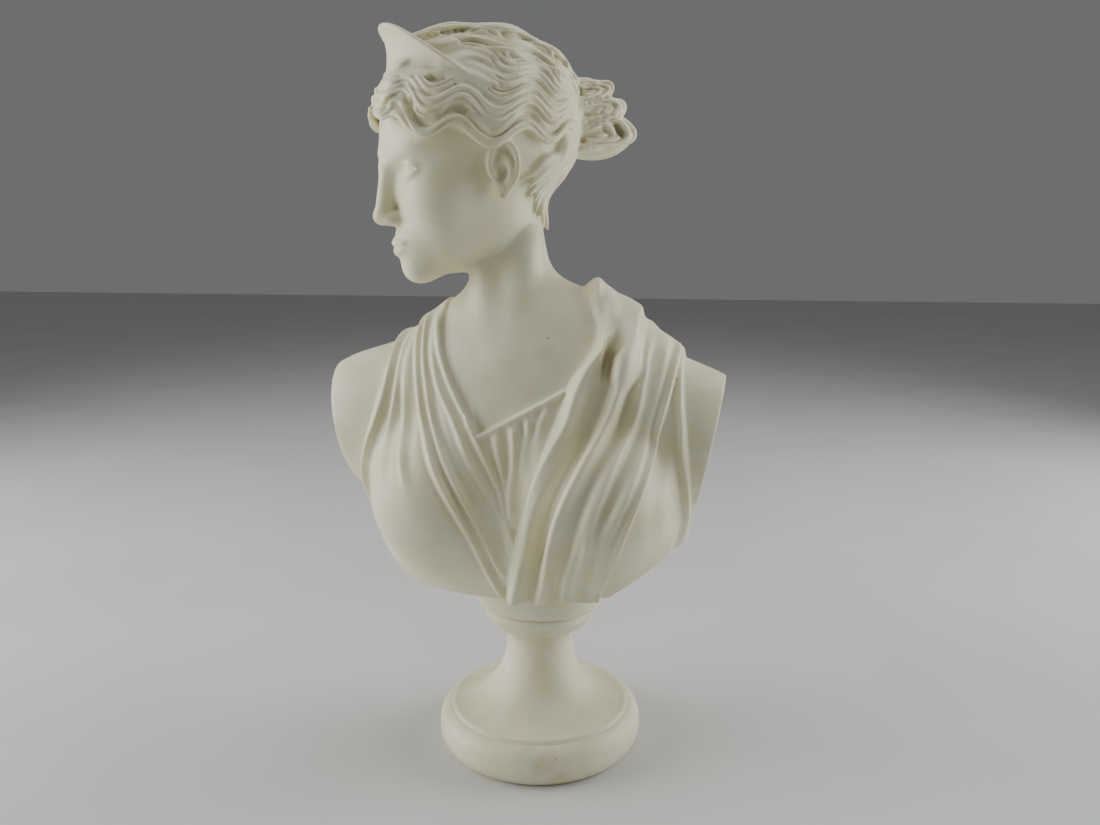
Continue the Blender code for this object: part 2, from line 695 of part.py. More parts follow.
BACK_FOLDS = (
    (2.0, 3.0, ((172, -72), (120, -82), (70, -84), (14, -72))),
    (1.7, 3.2, ((172, -62), (120, -62), (70, -52), (14, -42))),
    (1.7, 3.0, ((172, -54), (130, -44), (80, -28), (30, -20))),
    (2.8, 4.6, ((178, 33), (140, 30), (96, 20), (60, 14), (14, 8))),
    (2.6, 4.2, ((178, 45), (120, 40), (70, 30), (14, 20))),
    (2.4, 4.8, ((178, 57), (120, 56), (70, 46), (14, 33))),
    (2.2, 4.4, ((178, 66), (120, 70), (70, 62), (14, 44))),
)


def laid_folds(x, z, folds):
    """The sum of the folds' rounded crests, each fading out at both ends of its guide line."""
    total = np.zeros(len(x))
    for height, width, line in folds:
        top, foot = line[0][0], line[-1][0]
        fade = ramp(z, foot - 6, foot + 8) * ramp(-z, -top - 2, -top + 8)
        sway = 0.8 * np.sin(z / 9 + 5 * width + height)
        off = (x - through(z, line) - sway) / width
        crest = np.exp(-(off**2)) - 0.28 * np.exp(-(((np.abs(off) - 1.9) / 0.8) ** 2))
        total += height * (1 + 0.16 * np.sin(z / 13 + 3 * height)) * crest * fade
    return total


def dress_height(x, z, inner, folds):
    """The thin dress on the figure's right, fanning down from the shoulder to its inner edge."""
    inside = ramp(x - through(z, DRESS_EDGE), -0.5, 1.0) * ramp(through(z, inner) - x, -0.5, 1.0)
    return inside * np.maximum(1.7 + laid_folds(x, z, folds), 0.6)


def panel_height(x, z):
    """The gathered panel under the neck edge, between dress and mantle, with its rolled hem."""
    x0, z0 = NECK_POINT
    drop = z0 + np.maximum(x - x0, 0) * NECK_SLOPE + np.maximum(x0 - x, 0) * 3 - z
    under = ramp(drop, -0.4, 0.9) * ramp(x, x0 - 6, x0) * ramp(through(z, MANTLE_EDGE) + 2 - x, 0, 4)
    gather = 0.3 * np.cos((x + 0.3 * z + 2.2 * np.sin(x / 5)) * 2 * np.pi / 6.4)
    gather *= ramp(drop, 0, 5) * ramp(-drop, -20, -8)
    rolled = 1.8 * np.exp(-(((drop - 1.7) / 1.5) ** 2))
    return under * (1.5 + rolled + gather + laid_folds(x, z, PANEL_FOLDS) * ramp(drop, 0, 8))


def mantle_height(x, z, inner, outer, folds):
    """The heavy mantle that falls from the left shoulder between its two edges."""
    inside = ramp(x - through(z, inner), -0.8, 2.0) * ramp(through(z, outer) - x, -0.8, 2.0)
    return inside * np.maximum(4.2 + 2.0 * ramp(z, 115, 165) + laid_folds(x, z, folds), 0.8)


def side_height(x, z):
    """The dress beside the mantle, with its hanging sleeve edge."""
    inside = ramp(x - through(z, MANTLE_SIDE), -10, 0) * ramp(through(z, SLEEVE_EDGE) - x, -0.6, 1.0)
    return inside * (1.7 + laid_folds(x, z, SLEEVE_FOLDS))


def between_height(x, z):
    """The cloth between dress and mantle on the back, hung in shallow loops under the neck."""
    sag = z + 0.0035 * (x - 2) ** 2
    loops = np.cos(sag * 2 * np.pi / 17)
    under = ramp(140 - 0.010 * (x - 2) ** 2 - z, -0.4, 1.5)
    return under * ramp(x, -60, -50) * ramp(-x, -32, -22) * (1.4 + 0.9 * loops * ramp(z, 60, 110))


def cloth_height(points):
    x, y, z = points.T
    front = ramp(-y, -12, 8)
    chest = [
        dress_height(x, z, NECK_EDGE, DRESS_FOLDS),
        panel_height(x, z),
        mantle_height(x, z, MANTLE_EDGE, MANTLE_SIDE, MANTLE_FOLDS),
        side_height(x, z),
    ]
    back = [
        dress_height(x, z, BACK_NECK_EDGE, BACK_FOLDS[:3]),
        0.8 * mantle_height(x, z, BACK_MANTLE_EDGE, BACK_MANTLE_SIDE, BACK_FOLDS[3:]),
        between_height(x, z),
        side_height(x, z),
    ]
    return np.maximum.reduce(chest) * front + np.maximum.reduce(back) * (1 - front)


def make_body(voxel):
    masses = body_masses()
    body = fuse([solid_of(mass) for mass in masses], max(voxel, ROUGH))
    settle(body, lambda points: blended(points, masses), 4)
    body = fuse([body], voxel)
    settle(body, lambda points: blended(points, masses), 2)
    points = points_of(body)
    place_points(body, points + normals_of(body) * cloth_height(points)[:, None])
    slice_off(body, (0, 0, HEM), (0, 0, -1))
    slice_off(body, (RIGHT_CUT, 0, 116), (-1, 0, -0.20))
    slice_off(body, (LEFT_CUT, 0, 116), (1, 0, -0.20))
    slice_off(body, (UNDERCUT, 0, HEM + 4), (0.58, 0, -0.81))
    return body


def plinth():
    """The short block under the hem, a little wider than the socle's ring and less deep."""
    wide = (RING_RADIUS + PLINTH_OVERHANG) / PART
    block = egg(ball((0, 0, 8), (wide, wide - PLINTH_FLATNESS / PART, 30)), 48)
    slice_off(block, (0, 0, 0), (0, 0, -1))
    slice_off(block, (0, 0, HEM + 4), (0, 0, 1))
    return block


def mark_eyes_and_mouth(bust):
    """Marks the small forms of the face, which keep more of their triangles than the rest."""
    spots = points_of(bust) - np.array(HEAD_AT)
    x, y, z = (spots @ np.array(head_pose().to_3x3()) / HEAD).T
    eyes = (y < -0.20) & (np.abs(np.abs(x) - EYE[0]) < 0.09) & (np.abs(z - EYE[2]) < 0.05)
    mouth = (y < -0.30) & (np.abs(x) < 0.12) & (np.abs(z + 0.30) < 0.06)
    group = bust.vertex_groups.new(name="eyes and mouth")
    group.add(np.flatnonzero(eyes | mouth).tolist(), 0.8, "REPLACE")


def make_bust(material):
    bust = fuse([make_body(SCAN), make_head(SCAN), plinth()], SCAN)
    bust = soften(bust, 1)
    slice_off(bust, (0, 0, 0), (0, 0, -1))
    keep_outer_skin(bust)
    mark_eyes_and_mouth(bust)
    bust.data.calc_loop_triangles()
    thin = bust.modifiers.new("fewer faces", "DECIMATE")
    thin.ratio = BUST_TRIANGLES / len(bust.data.loop_triangles)
    thin.vertex_group = "eyes and mouth"
    thin.invert_vertex_group = True
    thin.vertex_group_factor = FACE_SPARED
    bust = applied(bust)
    seat = Matrix.Translation((0, 0, SOCLE_HEIGHT + JOINT_GAP))
    bust.data.transform(seat @ Matrix.Scale(PART, 4))
    bust.name = bust.data.name = "bust"
    bust.data.materials.append(material)
    bust.data.shade_smooth()
    return bust


# Socle, turned


def bow(start, end, bulge, steps):
    """Points from start to end along a shallow arc that bulges sideways by a share of its length."""
    (r0, z0), (r1, z1) = start, end
    points = []
    for k in range(steps + 1):
        t = k / steps
        out = bulge * 4 * t * (1 - t)
        points.append((r0 + (r1 - r0) * t - out * (z1 - z0), z0 + (z1 - z0) * t + out * (r1 - r0)))
    return points


def hollow(top, bottom, steps):
    """Points down a quarter ellipse that leaves top upright and reaches bottom nearly level."""
    (r0, z0), (r1, z1) = top, bottom
    angles = [math.pi / 2 * k / steps for k in range(steps + 1)]
    return [(r1 - (r1 - r0) * math.cos(a), z0 - (z0 - z1) * math.sin(a)) for a in angles]


def socle_profile():
    """Radius and height down the socle's side, from its top to its underside."""
    ring_foot = SOCLE_HEIGHT - RING_HEIGHT
    groove = FOOT_RADIUS - GROOVE_INSET
    widest = (FOOT_RADIUS, 0.55 * FOOT_RIM)
    points = [(0, SOCLE_HEIGHT), (RING_RADIUS - 0.0020, SOCLE_HEIGHT)]
    points += bow((RING_RADIUS, SOCLE_HEIGHT - 0.0020), (WAIST_RADIUS + 0.0015, ring_foot), 0.15, 4)
    points += hollow((WAIST_RADIUS, WAIST_AT), (groove, FOOT_RIM + GROOVE_DEPTH), 6)
    points += [(groove, FOOT_RIM)]
    points += bow((groove + 0.0012, FOOT_RIM), widest, 0.17, 3)
    points += bow(widest, (FOOT_RADIUS - 0.0050, 0), 0.14, 3)[1:]
    return points + [(0, 0)]


def make_socle(material):
    profile = socle_profile()
    mesh = bpy.data.meshes.new("socle")
    edges = [(i, i + 1) for i in range(len(profile) - 1)]
    mesh.from_pydata([(radius, 0, height) for radius, height in profile], edges, [])
    socle = link("socle", mesh)
    turned = socle.modifiers.new("turned", "SCREW")
    turned.steps = turned.render_steps = SOCLE_STEPS
    turned.use_merge_vertices = True
    turned.merge_threshold = 0.0001
    socle = applied(socle)
    socle.name = socle.data.name = "socle"
    socle.data.materials.append(material)
    socle.data.shade_smooth()
    return socle


def ivory():
    material = bpy.data.materials.new("ivory stone")
    material.use_nodes = True
    shader = material.node_tree.nodes["Principled BSDF"]
    shader.inputs["Base Color"].default_value = IVORY
    shader.inputs["Roughness"].default_value = 0.45
    shader.inputs["Metallic"].default_value = 0.0
    return material


def main():
    for old in list(bpy.data.objects):
        bpy.data.objects.remove(old)
    collection = bpy.data.collections.new("huntress bust")
    bpy.context.scene.collection.children.link(collection)
    stone = ivory()
    for piece in (make_bust(stone), make_socle(stone)):
        bpy.context.scene.collection.objects.unlink(piece)
        collection.objects.link(piece)


main()
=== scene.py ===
"""The looks of the huntress bust: a fine carving of the bust, a finely turned socle, ivory stone.

The front of the chest faces -Y and the origin is the middle of the socle's underside. The bust is
carved in its own parts, of which FIGURE_PARTS make up its height, and then brought to the size
and seat of the frame's bust.
"""

import math

import bmesh
import bpy
import numpy as np
from mathutils import Euler, Matrix, Vector
from mathutils.bvhtree import BVHTree


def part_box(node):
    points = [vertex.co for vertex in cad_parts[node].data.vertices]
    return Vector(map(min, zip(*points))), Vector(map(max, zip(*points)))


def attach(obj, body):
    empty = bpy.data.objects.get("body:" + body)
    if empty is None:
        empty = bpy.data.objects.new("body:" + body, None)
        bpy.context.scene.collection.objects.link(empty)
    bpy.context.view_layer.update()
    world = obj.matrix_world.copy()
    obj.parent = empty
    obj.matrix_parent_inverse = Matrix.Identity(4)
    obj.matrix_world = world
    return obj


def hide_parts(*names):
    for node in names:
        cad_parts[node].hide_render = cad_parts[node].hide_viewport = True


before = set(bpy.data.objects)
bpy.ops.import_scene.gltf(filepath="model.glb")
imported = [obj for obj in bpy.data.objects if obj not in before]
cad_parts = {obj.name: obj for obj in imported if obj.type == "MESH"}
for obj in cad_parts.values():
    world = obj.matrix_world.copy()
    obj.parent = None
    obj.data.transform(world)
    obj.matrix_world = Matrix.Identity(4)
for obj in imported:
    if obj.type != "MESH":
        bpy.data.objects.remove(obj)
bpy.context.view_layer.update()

BUST_LOW, BUST_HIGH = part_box("bust")
SOCLE_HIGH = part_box("socle")[1]

# The photograph's view: focal length as a share of the picture's width, sensor in millimetres,
# and the camera's place in metres and degrees
FOCAL_SHARE = 890 / 1100
SENSOR = 36.0
CAMERA_BACK = 0.488
CAMERA_UP = 0.290
CAMERA_ASIDE = 0.006
CAMERA_DOWN = 11.0
CAMERA_ROUND = 10.0

# The figure's own measure, and the grain of the first and the last skin in it
FIGURE_PARTS = 317.8
PART = (BUST_HIGH[2] - BUST_LOW[2]) / FIGURE_PARTS
ROUGH_GRAIN = 1.8
FINE_GRAIN = 0.75
BUST_TRIANGLES = 190000

# Pose of the head on the body, in parts and degrees
HEAD = 125.0
HEAD_AT = (-34.0, -4.0, 248.0)
HEAD_TURN = 62.0
HEAD_NOD = 9.0

# Where the body stands and where it is cut, in parts
MIDDLE = -6.0
HEM = 18.0
RIGHT_CUT = -113.0
LEFT_CUT = 98.5
UNDERCUT = 50.0
ARM_CUT_HEIGHT = 116.0

# Socle, in metres
SOCLE_HEIGHT = SOCLE_HIGH[2]
FOOT_RADIUS = SOCLE_HIGH[0]
FOOT_RIM = 0.0225
GROOVE_INSET = 0.0075
GROOVE_DEPTH = 0.0018
WAIST_RADIUS = 0.0188
WAIST_AT = 0.0630
RING_RADIUS = 0.0322
RING_HEIGHT = 0.0138
PLINTH_OVERHANG = 0.0042
PLINTH_FLATNESS = 0.0040
TOP_EDGE = 0.0020
RING_LEDGE = 0.0015
GROOVE_DRAFT = 0.0002
GROOVE_WIDTH = 0.0010
FOOT_TUCK = 0.0050
EASE = 0.0006
SOCLE_STEPS = 160
WELD = 0.00001


def ramp(x, low, high):
    """0 below low, 1 above high and smooth between."""
    t = np.clip((x - low) / (high - low), 0, 1)
    return t * t * (3 - 2 * t)


def through(z, line):
    """The smooth x at each z of a guide line given as a few (z, x) points, highest first."""
    zs, xs = np.array(line[::-1], float).T
    slope = np.gradient(xs, zs)
    i = np.clip(np.searchsorted(zs, z) - 1, 0, len(zs) - 2)
    span = zs[i + 1] - zs[i]
    t = np.clip((z - zs[i]) / span, 0, 1)
    ends = (2 * t**3 - 3 * t**2 + 1) * xs[i] + (3 * t**2 - 2 * t**3) * xs[i + 1]
    return ends + span * ((t**3 - 2 * t**2 + t) * slope[i] + (t**3 - t**2) * slope[i + 1])


# Soft masses: the forms that run into each other, as a sculptor adds lumps of clay


def ball(centre, radii, blend=8.0, turn=(0, 0, 0), cut=False):
    axes = np.array(Euler([math.radians(a) for a in turn]).to_matrix())
    return {
        "centre": np.array(centre, float),
        "radii": np.ones(3) * radii,
        "axes": axes,
        "blend": blend,
        "cut": cut,
    }


def limb(start, end, start_radius, end_radius, blend=8.0):
    return {
        "start": np.array(start, float),
        "end": np.array(end, float),
        "radii": (start_radius, end_radius),
        "blend": blend,
        "cut": False,
    }


def pair(x, y, z, radii, blend=8.0, turn=(0, 0, 0), cut=False, middle=0.0, drop=0.0):
    """A ball on each side of the middle, turned the opposite way, the one at +X lower by drop."""
    tip, roll, yaw = turn
    return [
        ball((middle + side * x, y, z - side * drop / 2), radii, blend, (tip, side * roll, side * yaw), cut)
        for side in (-1, 1)
    ]


def egg_distance(local, radii):
    k0 = np.linalg.norm(local / radii, axis=1)
    k1 = np.linalg.norm(local / np.square(radii), axis=1)
    return k0 * (k0 - 1.0) / np.maximum(k1, 1e-9)


def cord(path, radius, blend):
    return {"path": [np.array(spot, float) for spot in path], "radius": radius, "blend": blend, "cut": False}


def distance_to(points, mass):
    if "path" in mass:
        pieces = zip(mass["path"], mass["path"][1:])
        bars = [limb(a, b, mass["radius"], mass["radius"]) for a, b in pieces]
        return np.minimum.reduce([distance_to(points, bar) for bar in bars])
    if "start" not in mass:
        return egg_distance((points - mass["centre"]) @ mass["axes"], mass["radii"])
    along = mass["end"] - mass["start"]
    t = np.clip((points - mass["start"]) @ along / (along @ along), 0, 1)
    nearest = mass["start"] + t[:, None] * along
    r0, r1 = mass["radii"]
    return np.linalg.norm(points - nearest, axis=1) - (r0 + (r1 - r0) * t)


def soft_union(a, b, blend):
    share = np.clip(0.5 + 0.5 * (a - b) / blend, 0, 1)
    return a * (1 - share) + b * share - blend * share * (1 - share)


def blended(points, masses, far=1e3):
    """Distance to the masses as one soft body; a mass marked cut is pressed into it."""
    for mass in masses:
        near = distance_to(points, mass)
        if mass["cut"]:
            far = -soft_union(-far, near, mass["blend"])
        else:
            far = soft_union(far, near, mass["blend"])
    return far


# Blender helpers


def link(name, data):
    obj = bpy.data.objects.new(name, data)
    bpy.context.scene.collection.objects.link(obj)
    return obj


def applied(obj):
    """The object with its modifiers, or its curve, made into a plain mesh."""
    graph = bpy.context.evaluated_depsgraph_get()
    mesh = bpy.data.meshes.new_from_object(obj.evaluated_get(graph))
    made = link(obj.name, mesh)
    bpy.data.objects.remove(obj)
    return made


def egg(centre, radii, sides=32, axes=np.eye(3)):
    """A UV sphere stretched to the radii."""
    bm = bmesh.new()
    bmesh.ops.create_uvsphere(bm, u_segments=sides, v_segments=sides // 2 + 4, radius=1.0)
    mesh = bpy.data.meshes.new("egg")
    bm.to_mesh(mesh)
    bm.free()
    place = np.eye(4)
    place[:3, :3] = axes * radii
    place[:3, 3] = centre
    mesh.transform(Matrix(place))
    return link("egg", mesh)


def add_line(curve, path, radius):
    """Adds a line of points to a curve, whose radius may change from point to point."""
    spline = curve.splines.new("POLY")
    spline.points.add(len(path) - 1)
    spline.points.foreach_set("co", np.column_stack([path, np.ones(len(path))]).ravel())
    spline.points.foreach_set("radius", np.ones(len(path)) * radius)


def tube(path, radius, bevel=3):
    """A round bar along the path."""
    curve = bpy.data.curves.new("tube", "CURVE")
    curve.dimensions = "3D"
    curve.bevel_depth = 1.0
    curve.bevel_resolution = bevel
    curve.use_fill_caps = True
    add_line(curve, path, radius)
    return applied(link("tube", curve))


def solid_of(mass):
    """The plain solid of a mass, before the masses are blended."""
    if "path" in mass:
        return tube(np.array(mass["path"]), mass["radius"])
    if "start" in mass:
        return tube(np.array([mass["start"], mass["end"]]), np.array(mass["radii"]), bevel=10)
    return egg(mass["centre"], mass["radii"], axes=mass["axes"])


def fuse(objects, voxel):
    """One closed skin round all the objects, which are used up."""
    bm = bmesh.new()
    for obj in objects:
        bm.from_mesh(obj.data)
        bpy.data.objects.remove(obj)
    mesh = bpy.data.meshes.new("fused")
    bm.to_mesh(mesh)
    bm.free()
    skin = link("fused", mesh)
    scan = skin.modifiers.new("skin", "REMESH")
    scan.mode = "VOXEL"
    scan.voxel_size = voxel
    return applied(skin)


def soften(obj, rounds):
    smooth = obj.modifiers.new("soften", "SMOOTH")
    smooth.factor = 0.5
    smooth.iterations = rounds
    return applied(obj)


def vectors_of(collection, name):
    flat = np.empty(len(collection) * 3, np.float32)
    collection.foreach_get(name, flat)
    return flat.reshape(-1, 3).astype(float)


def points_of(obj):
    return vectors_of(obj.data.vertices, "co")


def normals_of(obj):
    return vectors_of(obj.data.vertex_normals, "vector")


def place_points(obj, points):
    obj.data.vertices.foreach_set("co", points.astype(np.float32).ravel())
    obj.data.update()


def settled(points, distance, rounds, step=0.25, most=5.0):
    """The points moved onto the surface where distance is nought."""
    points = points.copy()
    for _ in range(rounds):
        off = distance(points)
        slope = np.empty_like(points)
        for axis in range(3):
            shift = np.zeros(3)
            shift[axis] = step
            slope[:, axis] = (distance(points + shift) - distance(points - shift)) / (2 * step)
        move = -off[:, None] * slope / np.maximum((slope**2).sum(1), 0.1)[:, None]
        length = np.linalg.norm(move, axis=1)
        points += move * np.minimum(1, most / np.maximum(length, 1e-9))[:, None]
    return points


def settled_skin(lumps, distance):
    """A fine skin round the lumps, moved onto the surface where distance is nought."""
    for grain, rounds in ((ROUGH_GRAIN, 4), (FINE_GRAIN, 2)):
        skin = fuse(lumps, grain)
        place_points(skin, settled(points_of(skin), distance, rounds))
        lumps = [skin]
    return skin


def slice_off(obj, at, normal):
    """Cuts the object flat at a plane, and takes away the side that normal points to."""
    bm = bmesh.new()
    bm.from_mesh(obj.data)
    every = bm.verts[:] + bm.edges[:] + bm.faces[:]
    bmesh.ops.bisect_plane(bm, geom=every, plane_co=at, plane_no=normal, clear_outer=True)
    bmesh.ops.holes_fill(bm, edges=[edge for edge in bm.edges if edge.is_boundary])
    bm.to_mesh(obj.data)
    bm.free()


def keep_outer_skin(obj):
    """Leaves only the largest connected shell, so that no sealed hollow stays inside."""
    bm = bmesh.new()
    bm.from_mesh(obj.data)
    shells, seen = [], set()
    for first in bm.verts:
        if first.index in seen:
            continue
        shell, edge_of_shell = [], [first]
        seen.add(first.index)
        while edge_of_shell:
            vert = edge_of_shell.pop()
            shell.append(vert)
            for edge in vert.link_edges:
                other = edge.other_vert(vert)
                if other.index not in seen:
                    seen.add(other.index)
                    edge_of_shell.append(other)
        shells.append(shell)
    largest = max(shells, key=len)
    loose = [vert for shell in shells if shell is not largest for vert in shell]
    bmesh.ops.delete(bm, geom=loose, context="VERTS")
    bm.to_mesh(obj.data)
    bm.free()


# Geometry nodes

STRAND_SIDES = 12


def feed(tree, value, socket):
    """Gives a node's input its value, which is another node's output or a plain value."""
    if isinstance(value, bpy.types.NodeSocket):
        tree.links.new(value, socket)
    else:
        socket.default_value = value


def math_node(tree, operation, a, b):
    node = tree.nodes.new("ShaderNodeMath")
    node.operation = operation
    feed(tree, a, node.inputs[0])
    feed(tree, b, node.inputs[1])
    return node.outputs[0]


def new_tree(name, inputs, output):
    """A modifier's tree with its named inputs, each given with its kind of socket."""
    tree = bpy.data.node_groups.new(name, "GeometryNodeTree")
    tree.is_modifier = True
    for title, kind in inputs.items():
        tree.interface.new_socket(title, in_out="INPUT", socket_type="NodeSocket" + kind)
    tree.interface.new_socket(output, in_out="OUTPUT", socket_type="NodeSocketGeometry")
    return tree, tree.nodes.new("NodeGroupInput"), tree.nodes.new("NodeGroupOutput")


def finish_tree(tree, shape, stone, result):
    """Ends a tree: real meshes in place of copies, then the material."""
    real = tree.nodes.new("GeometryNodeRealizeInstances")
    coat = tree.nodes.new("GeometryNodeSetMaterial")
    tree.links.new(shape, real.inputs["Geometry"])
    tree.links.new(real.outputs[0], coat.inputs["Geometry"])
    tree.links.new(stone, coat.inputs["Material"])
    tree.links.new(coat.outputs[0], result)


def grown(obj, tree, sizes):
    """The plain mesh that a geometry-nodes tree makes of an object."""
    grower = obj.modifiers.new(tree.name, "NODES")
    grower.node_group = tree
    for socket in tree.interface.items_tree:
        if socket.in_out == "INPUT" and socket.name in sizes:
            grower[socket.identifier] = sizes[socket.name]
    return applied(obj)


def strand_tree():
    """Geometry nodes that give every curve a round body of the curve's own radius."""
    inputs = {"Paths": "Geometry", "Sides": "Int", "Fullness": "Float", "Stone": "Material"}
    tree, given, result = new_tree("hair strands", inputs, "Strands")
    ring = tree.nodes.new("GeometryNodeCurvePrimitiveCircle")
    tree.links.new(given.outputs["Sides"], ring.inputs["Resolution"])
    tree.links.new(given.outputs["Fullness"], ring.inputs["Radius"])
    body = tree.nodes.new("GeometryNodeCurveToMesh")
    body.inputs["Fill Caps"].default_value = True
    thick = tree.nodes.new("GeometryNodeInputRadius")
    tree.links.new(thick.outputs["Radius"], body.inputs["Scale"])
    tree.links.new(given.outputs["Paths"], body.inputs["Curve"])
    tree.links.new(ring.outputs["Curve"], body.inputs["Profile Curve"])
    finish_tree(tree, body.outputs[0], given.outputs["Stone"], result.inputs[0])
    return tree


def strands_of(paths, stone):
    """One mesh of round strands, each given as its path and its radius along the path."""
    curve = bpy.data.curves.new("strands", "CURVE")
    curve.dimensions = "3D"
    for path, radius in paths:
        add_line(curve, path, radius)
    sizes = {"Sides": STRAND_SIDES, "Fullness": 1.0, "Stone": stone}
    return grown(link("strands", curve), strand_tree(), sizes)


# Head, in its own frame: middle of the skull at nought, face to -Y, in shares of HEAD

EYE = (0.130, -0.266, -0.012)
EYE_RADIUS = 0.062
LID_RADIUS = 0.0745
EYE_HALF_WIDTH = 0.068
# Upper and lower lip: how far back and up, radii, and how much the ends drop
LIPS = (
    (-0.386, -0.284, (0.088, 0.026, 0.020), 0.14),
    (-0.384, -0.322, (0.070, 0.027, 0.022), -0.22),
)
EAR_AT = (0.286, 0.038, -0.060)
EAR_LEAN = 10.0
EAR_FLARE = 16.0
SCALP_AT = np.array((0.0, 0.020, 0.135))
SCALP_RADII = np.array((0.318, 0.440, 0.334))
KNOT = np.array((0.0, 0.440, 0.130))


def bone_masses():
    """Skull, jaw, cheeks, chin and neck."""
    return [
        ball((0, 0.055, 0.115), (0.302, 0.395, 0.330)),
        ball((0, -0.130, 0.125), (0.258, 0.250, 0.245), 0.06),
        ball((0, -0.125, -0.100), (0.254, 0.240, 0.26), 0.06),
        ball((0, -0.140, -0.275), (0.205, 0.214, 0.178), 0.08),
        *pair(0.145, -0.010, -0.210, (0.075, 0.125, 0.120), 0.08),
        *pair(0.130, -0.205, -0.150, (0.105, 0.105, 0.125), 0.10),
        ball((0, -0.308, -0.402), (0.084, 0.080, 0.070), 0.07),
        limb((0, 0.065, -0.20), (0, 0.098, -0.62), 0.178, 0.162, 0.07),
    ]


def head_masses():
    """The bones, brow, nose, mouth and eyeballs on the classical canon: eyes at mid height, the
    brow, nose and chin a third of the face each, one eye's width between the eyes."""
    return [
        *bone_masses(),
        *pair(0.136, -0.418, -0.004, (0.078, 0.085, 0.050), 0.07, (0, 0, 12), cut=True),
        *pair(0.105, -0.292, 0.066, (0.110, 0.060, 0.024), 0.06, (0, -4, 24)),
        ball((0, -0.292, -0.295), (0.115, 0.102, 0.095), 0.06),
        limb((0, -0.350, 0.095), (0, -0.424, -0.160), 0.030, 0.036, 0.045),
        ball((0, -0.424, -0.172), (0.035, 0.042, 0.032), 0.030),
        *pair(0.038, -0.388, -0.188, (0.026, 0.042, 0.026), 0.024),
        *pair(*EYE, EYE_RADIUS, 0.006),
    ]


def with_lids(points, far):
    """Adds the eyelids: a shell round each eyeball, open in an almond."""
    for side in (-1, 1):
        local = points - np.array((side * EYE[0], EYE[1], EYE[2]))
        across = local[:, 0] * side
        up = local[:, 2] - 0.06 * across
        width = np.clip(1 - (across / EYE_HALF_WIDTH) ** 2, -1, 1)
        opening = np.minimum(0.030 * width - up, up + 0.020 * width)
        lid = -soft_union(LID_RADIUS - np.linalg.norm(local, axis=1), -opening, 0.010)
        far = soft_union(far, np.maximum(lid, local[:, 1]), 0.006)
    return far


def with_lips(points, far):
    """Adds closed lips that bend round the teeth."""
    across = np.abs(points[:, 0])
    forward = points[:, 1] - 1.7 * across**2
    lips = None
    for y, z, radii, droop in LIPS:
        height = points[:, 2] - z + droop * across**1.3
        lip = egg_distance(np.stack([points[:, 0], forward - y, height], 1), np.array(radii))
        lips = lip if lips is None else soft_union(lips, lip, 0.004)
    return soft_union(far, lips, 0.016)


def ear_masses(side):
    """An ear: a thin plate with a rolled rim, an inner fold, two hollows and a lobe."""
    flare, lean = math.radians(EAR_FLARE), math.radians(EAR_LEAN)
    out = np.array((side * math.cos(flare), -math.sin(flare), 0))
    up = np.array((0, math.sin(lean), math.cos(lean)))
    up -= (up @ out) * out
    up /= np.linalg.norm(up)
    back = np.cross(up, out) * side
    origin = np.array((side * EAR_AT[0], EAR_AT[1], EAR_AT[2]))

    def at(u, v, w):
        return origin + u * back + v * up + w * out

    def plate(u, v, w, radii, blend, cut=False):
        made = ball(at(u, v, w), radii, blend, cut=cut)
        made["axes"] = np.stack([back, up, out], 1)
        return made

    def fold(path, radius, blend):
        return cord([at(*spot) for spot in path], radius, blend)

    rim = [
        (0.058 * math.cos(a) + 0.004, 0.094 * math.sin(a) + 0.014, 0.016)
        for a in np.radians(np.linspace(200, -62, 20))
    ]
    inner = [(0.024, -0.056, 0.010), (0.034, -0.010, 0.014), (0.026, 0.036, 0.014), (0.004, 0.056, 0.008)]
    return [
        plate(0.004, 0.004, -0.002, (0.056, 0.100, 0.018), 0.012),
        plate(0.000, -0.088, 0.004, (0.028, 0.032, 0.016), 0.020),
        plate(0.000, -0.016, 0.028, (0.029, 0.042, 0.034), 0.010, cut=True),
        plate(0.004, 0.062, 0.028, (0.034, 0.022, 0.026), 0.010, cut=True),
        fold(inner, 0.010, 0.010),
        fold(rim, 0.0115, 0.008),
        plate(-0.038, -0.020, 0.008, (0.014, 0.022, 0.014), 0.012),
    ]


def make_face():
    """Head, neck and ears without hair."""
    masses = head_masses()
    ears = ear_masses(-1) + ear_masses(1)

    def distance(points):
        spots = points / HEAD
        far = with_lips(spots, with_lids(spots, blended(spots, masses)))
        beside = (np.abs(spots[:, 0]) > 0.22) & (np.abs(spots[:, 1] - EAR_AT[1]) < 0.16)
        beside &= np.abs(spots[:, 2] - EAR_AT[2]) < 0.2
        if beside.any():
            far[beside] = blended(spots[beside], ears, far[beside])
        return HEAD * far

    lumps = [solid_of(mass) for mass in masses + ears if not mass["cut"]]
    for lump in lumps:
        lump.data.transform(Matrix.Scale(HEAD, 4))
    return settled_skin(lumps, distance)


# Hair: locks run like the meridians of the scalp, from the parting over the brow to the knot.
# Their angles round that axis are in degrees from the crown, and a wobble keeps them uneven.

FIRST_LOCK = 5.0
LOWEST_LOCK = 114.0
LOCK_STEP = 8.0
LOCK_WOBBLE = 1.2
WOBBLE_RATE = 2.3
WAVES = 4.6
PHASE_STEP = 0.035
LEFT_PHASE = 0.25
FRONT_LAYER = 62.0
CROWN_LAYER = 30.0
# At the side, over the brow and on the crown: lift, first share of the way, swing and phase
LAYER_LIFT = (0.006, 0.026, 0.046)
LAYER_START = (0.02, 0.10, 0.12)
LAYER_SWING = (0.036, 0.030, 0.022)
LAYER_PHASE = (0.0, 0.18, 0.30)
# The scalp's mean radius, and the parting: height, fall to the sides, and how far out it lies
SCALP_REACH = 0.38
PARTING_HIGH = 0.375
PARTING_FALL = 0.115
PARTING_OUT = 1.03
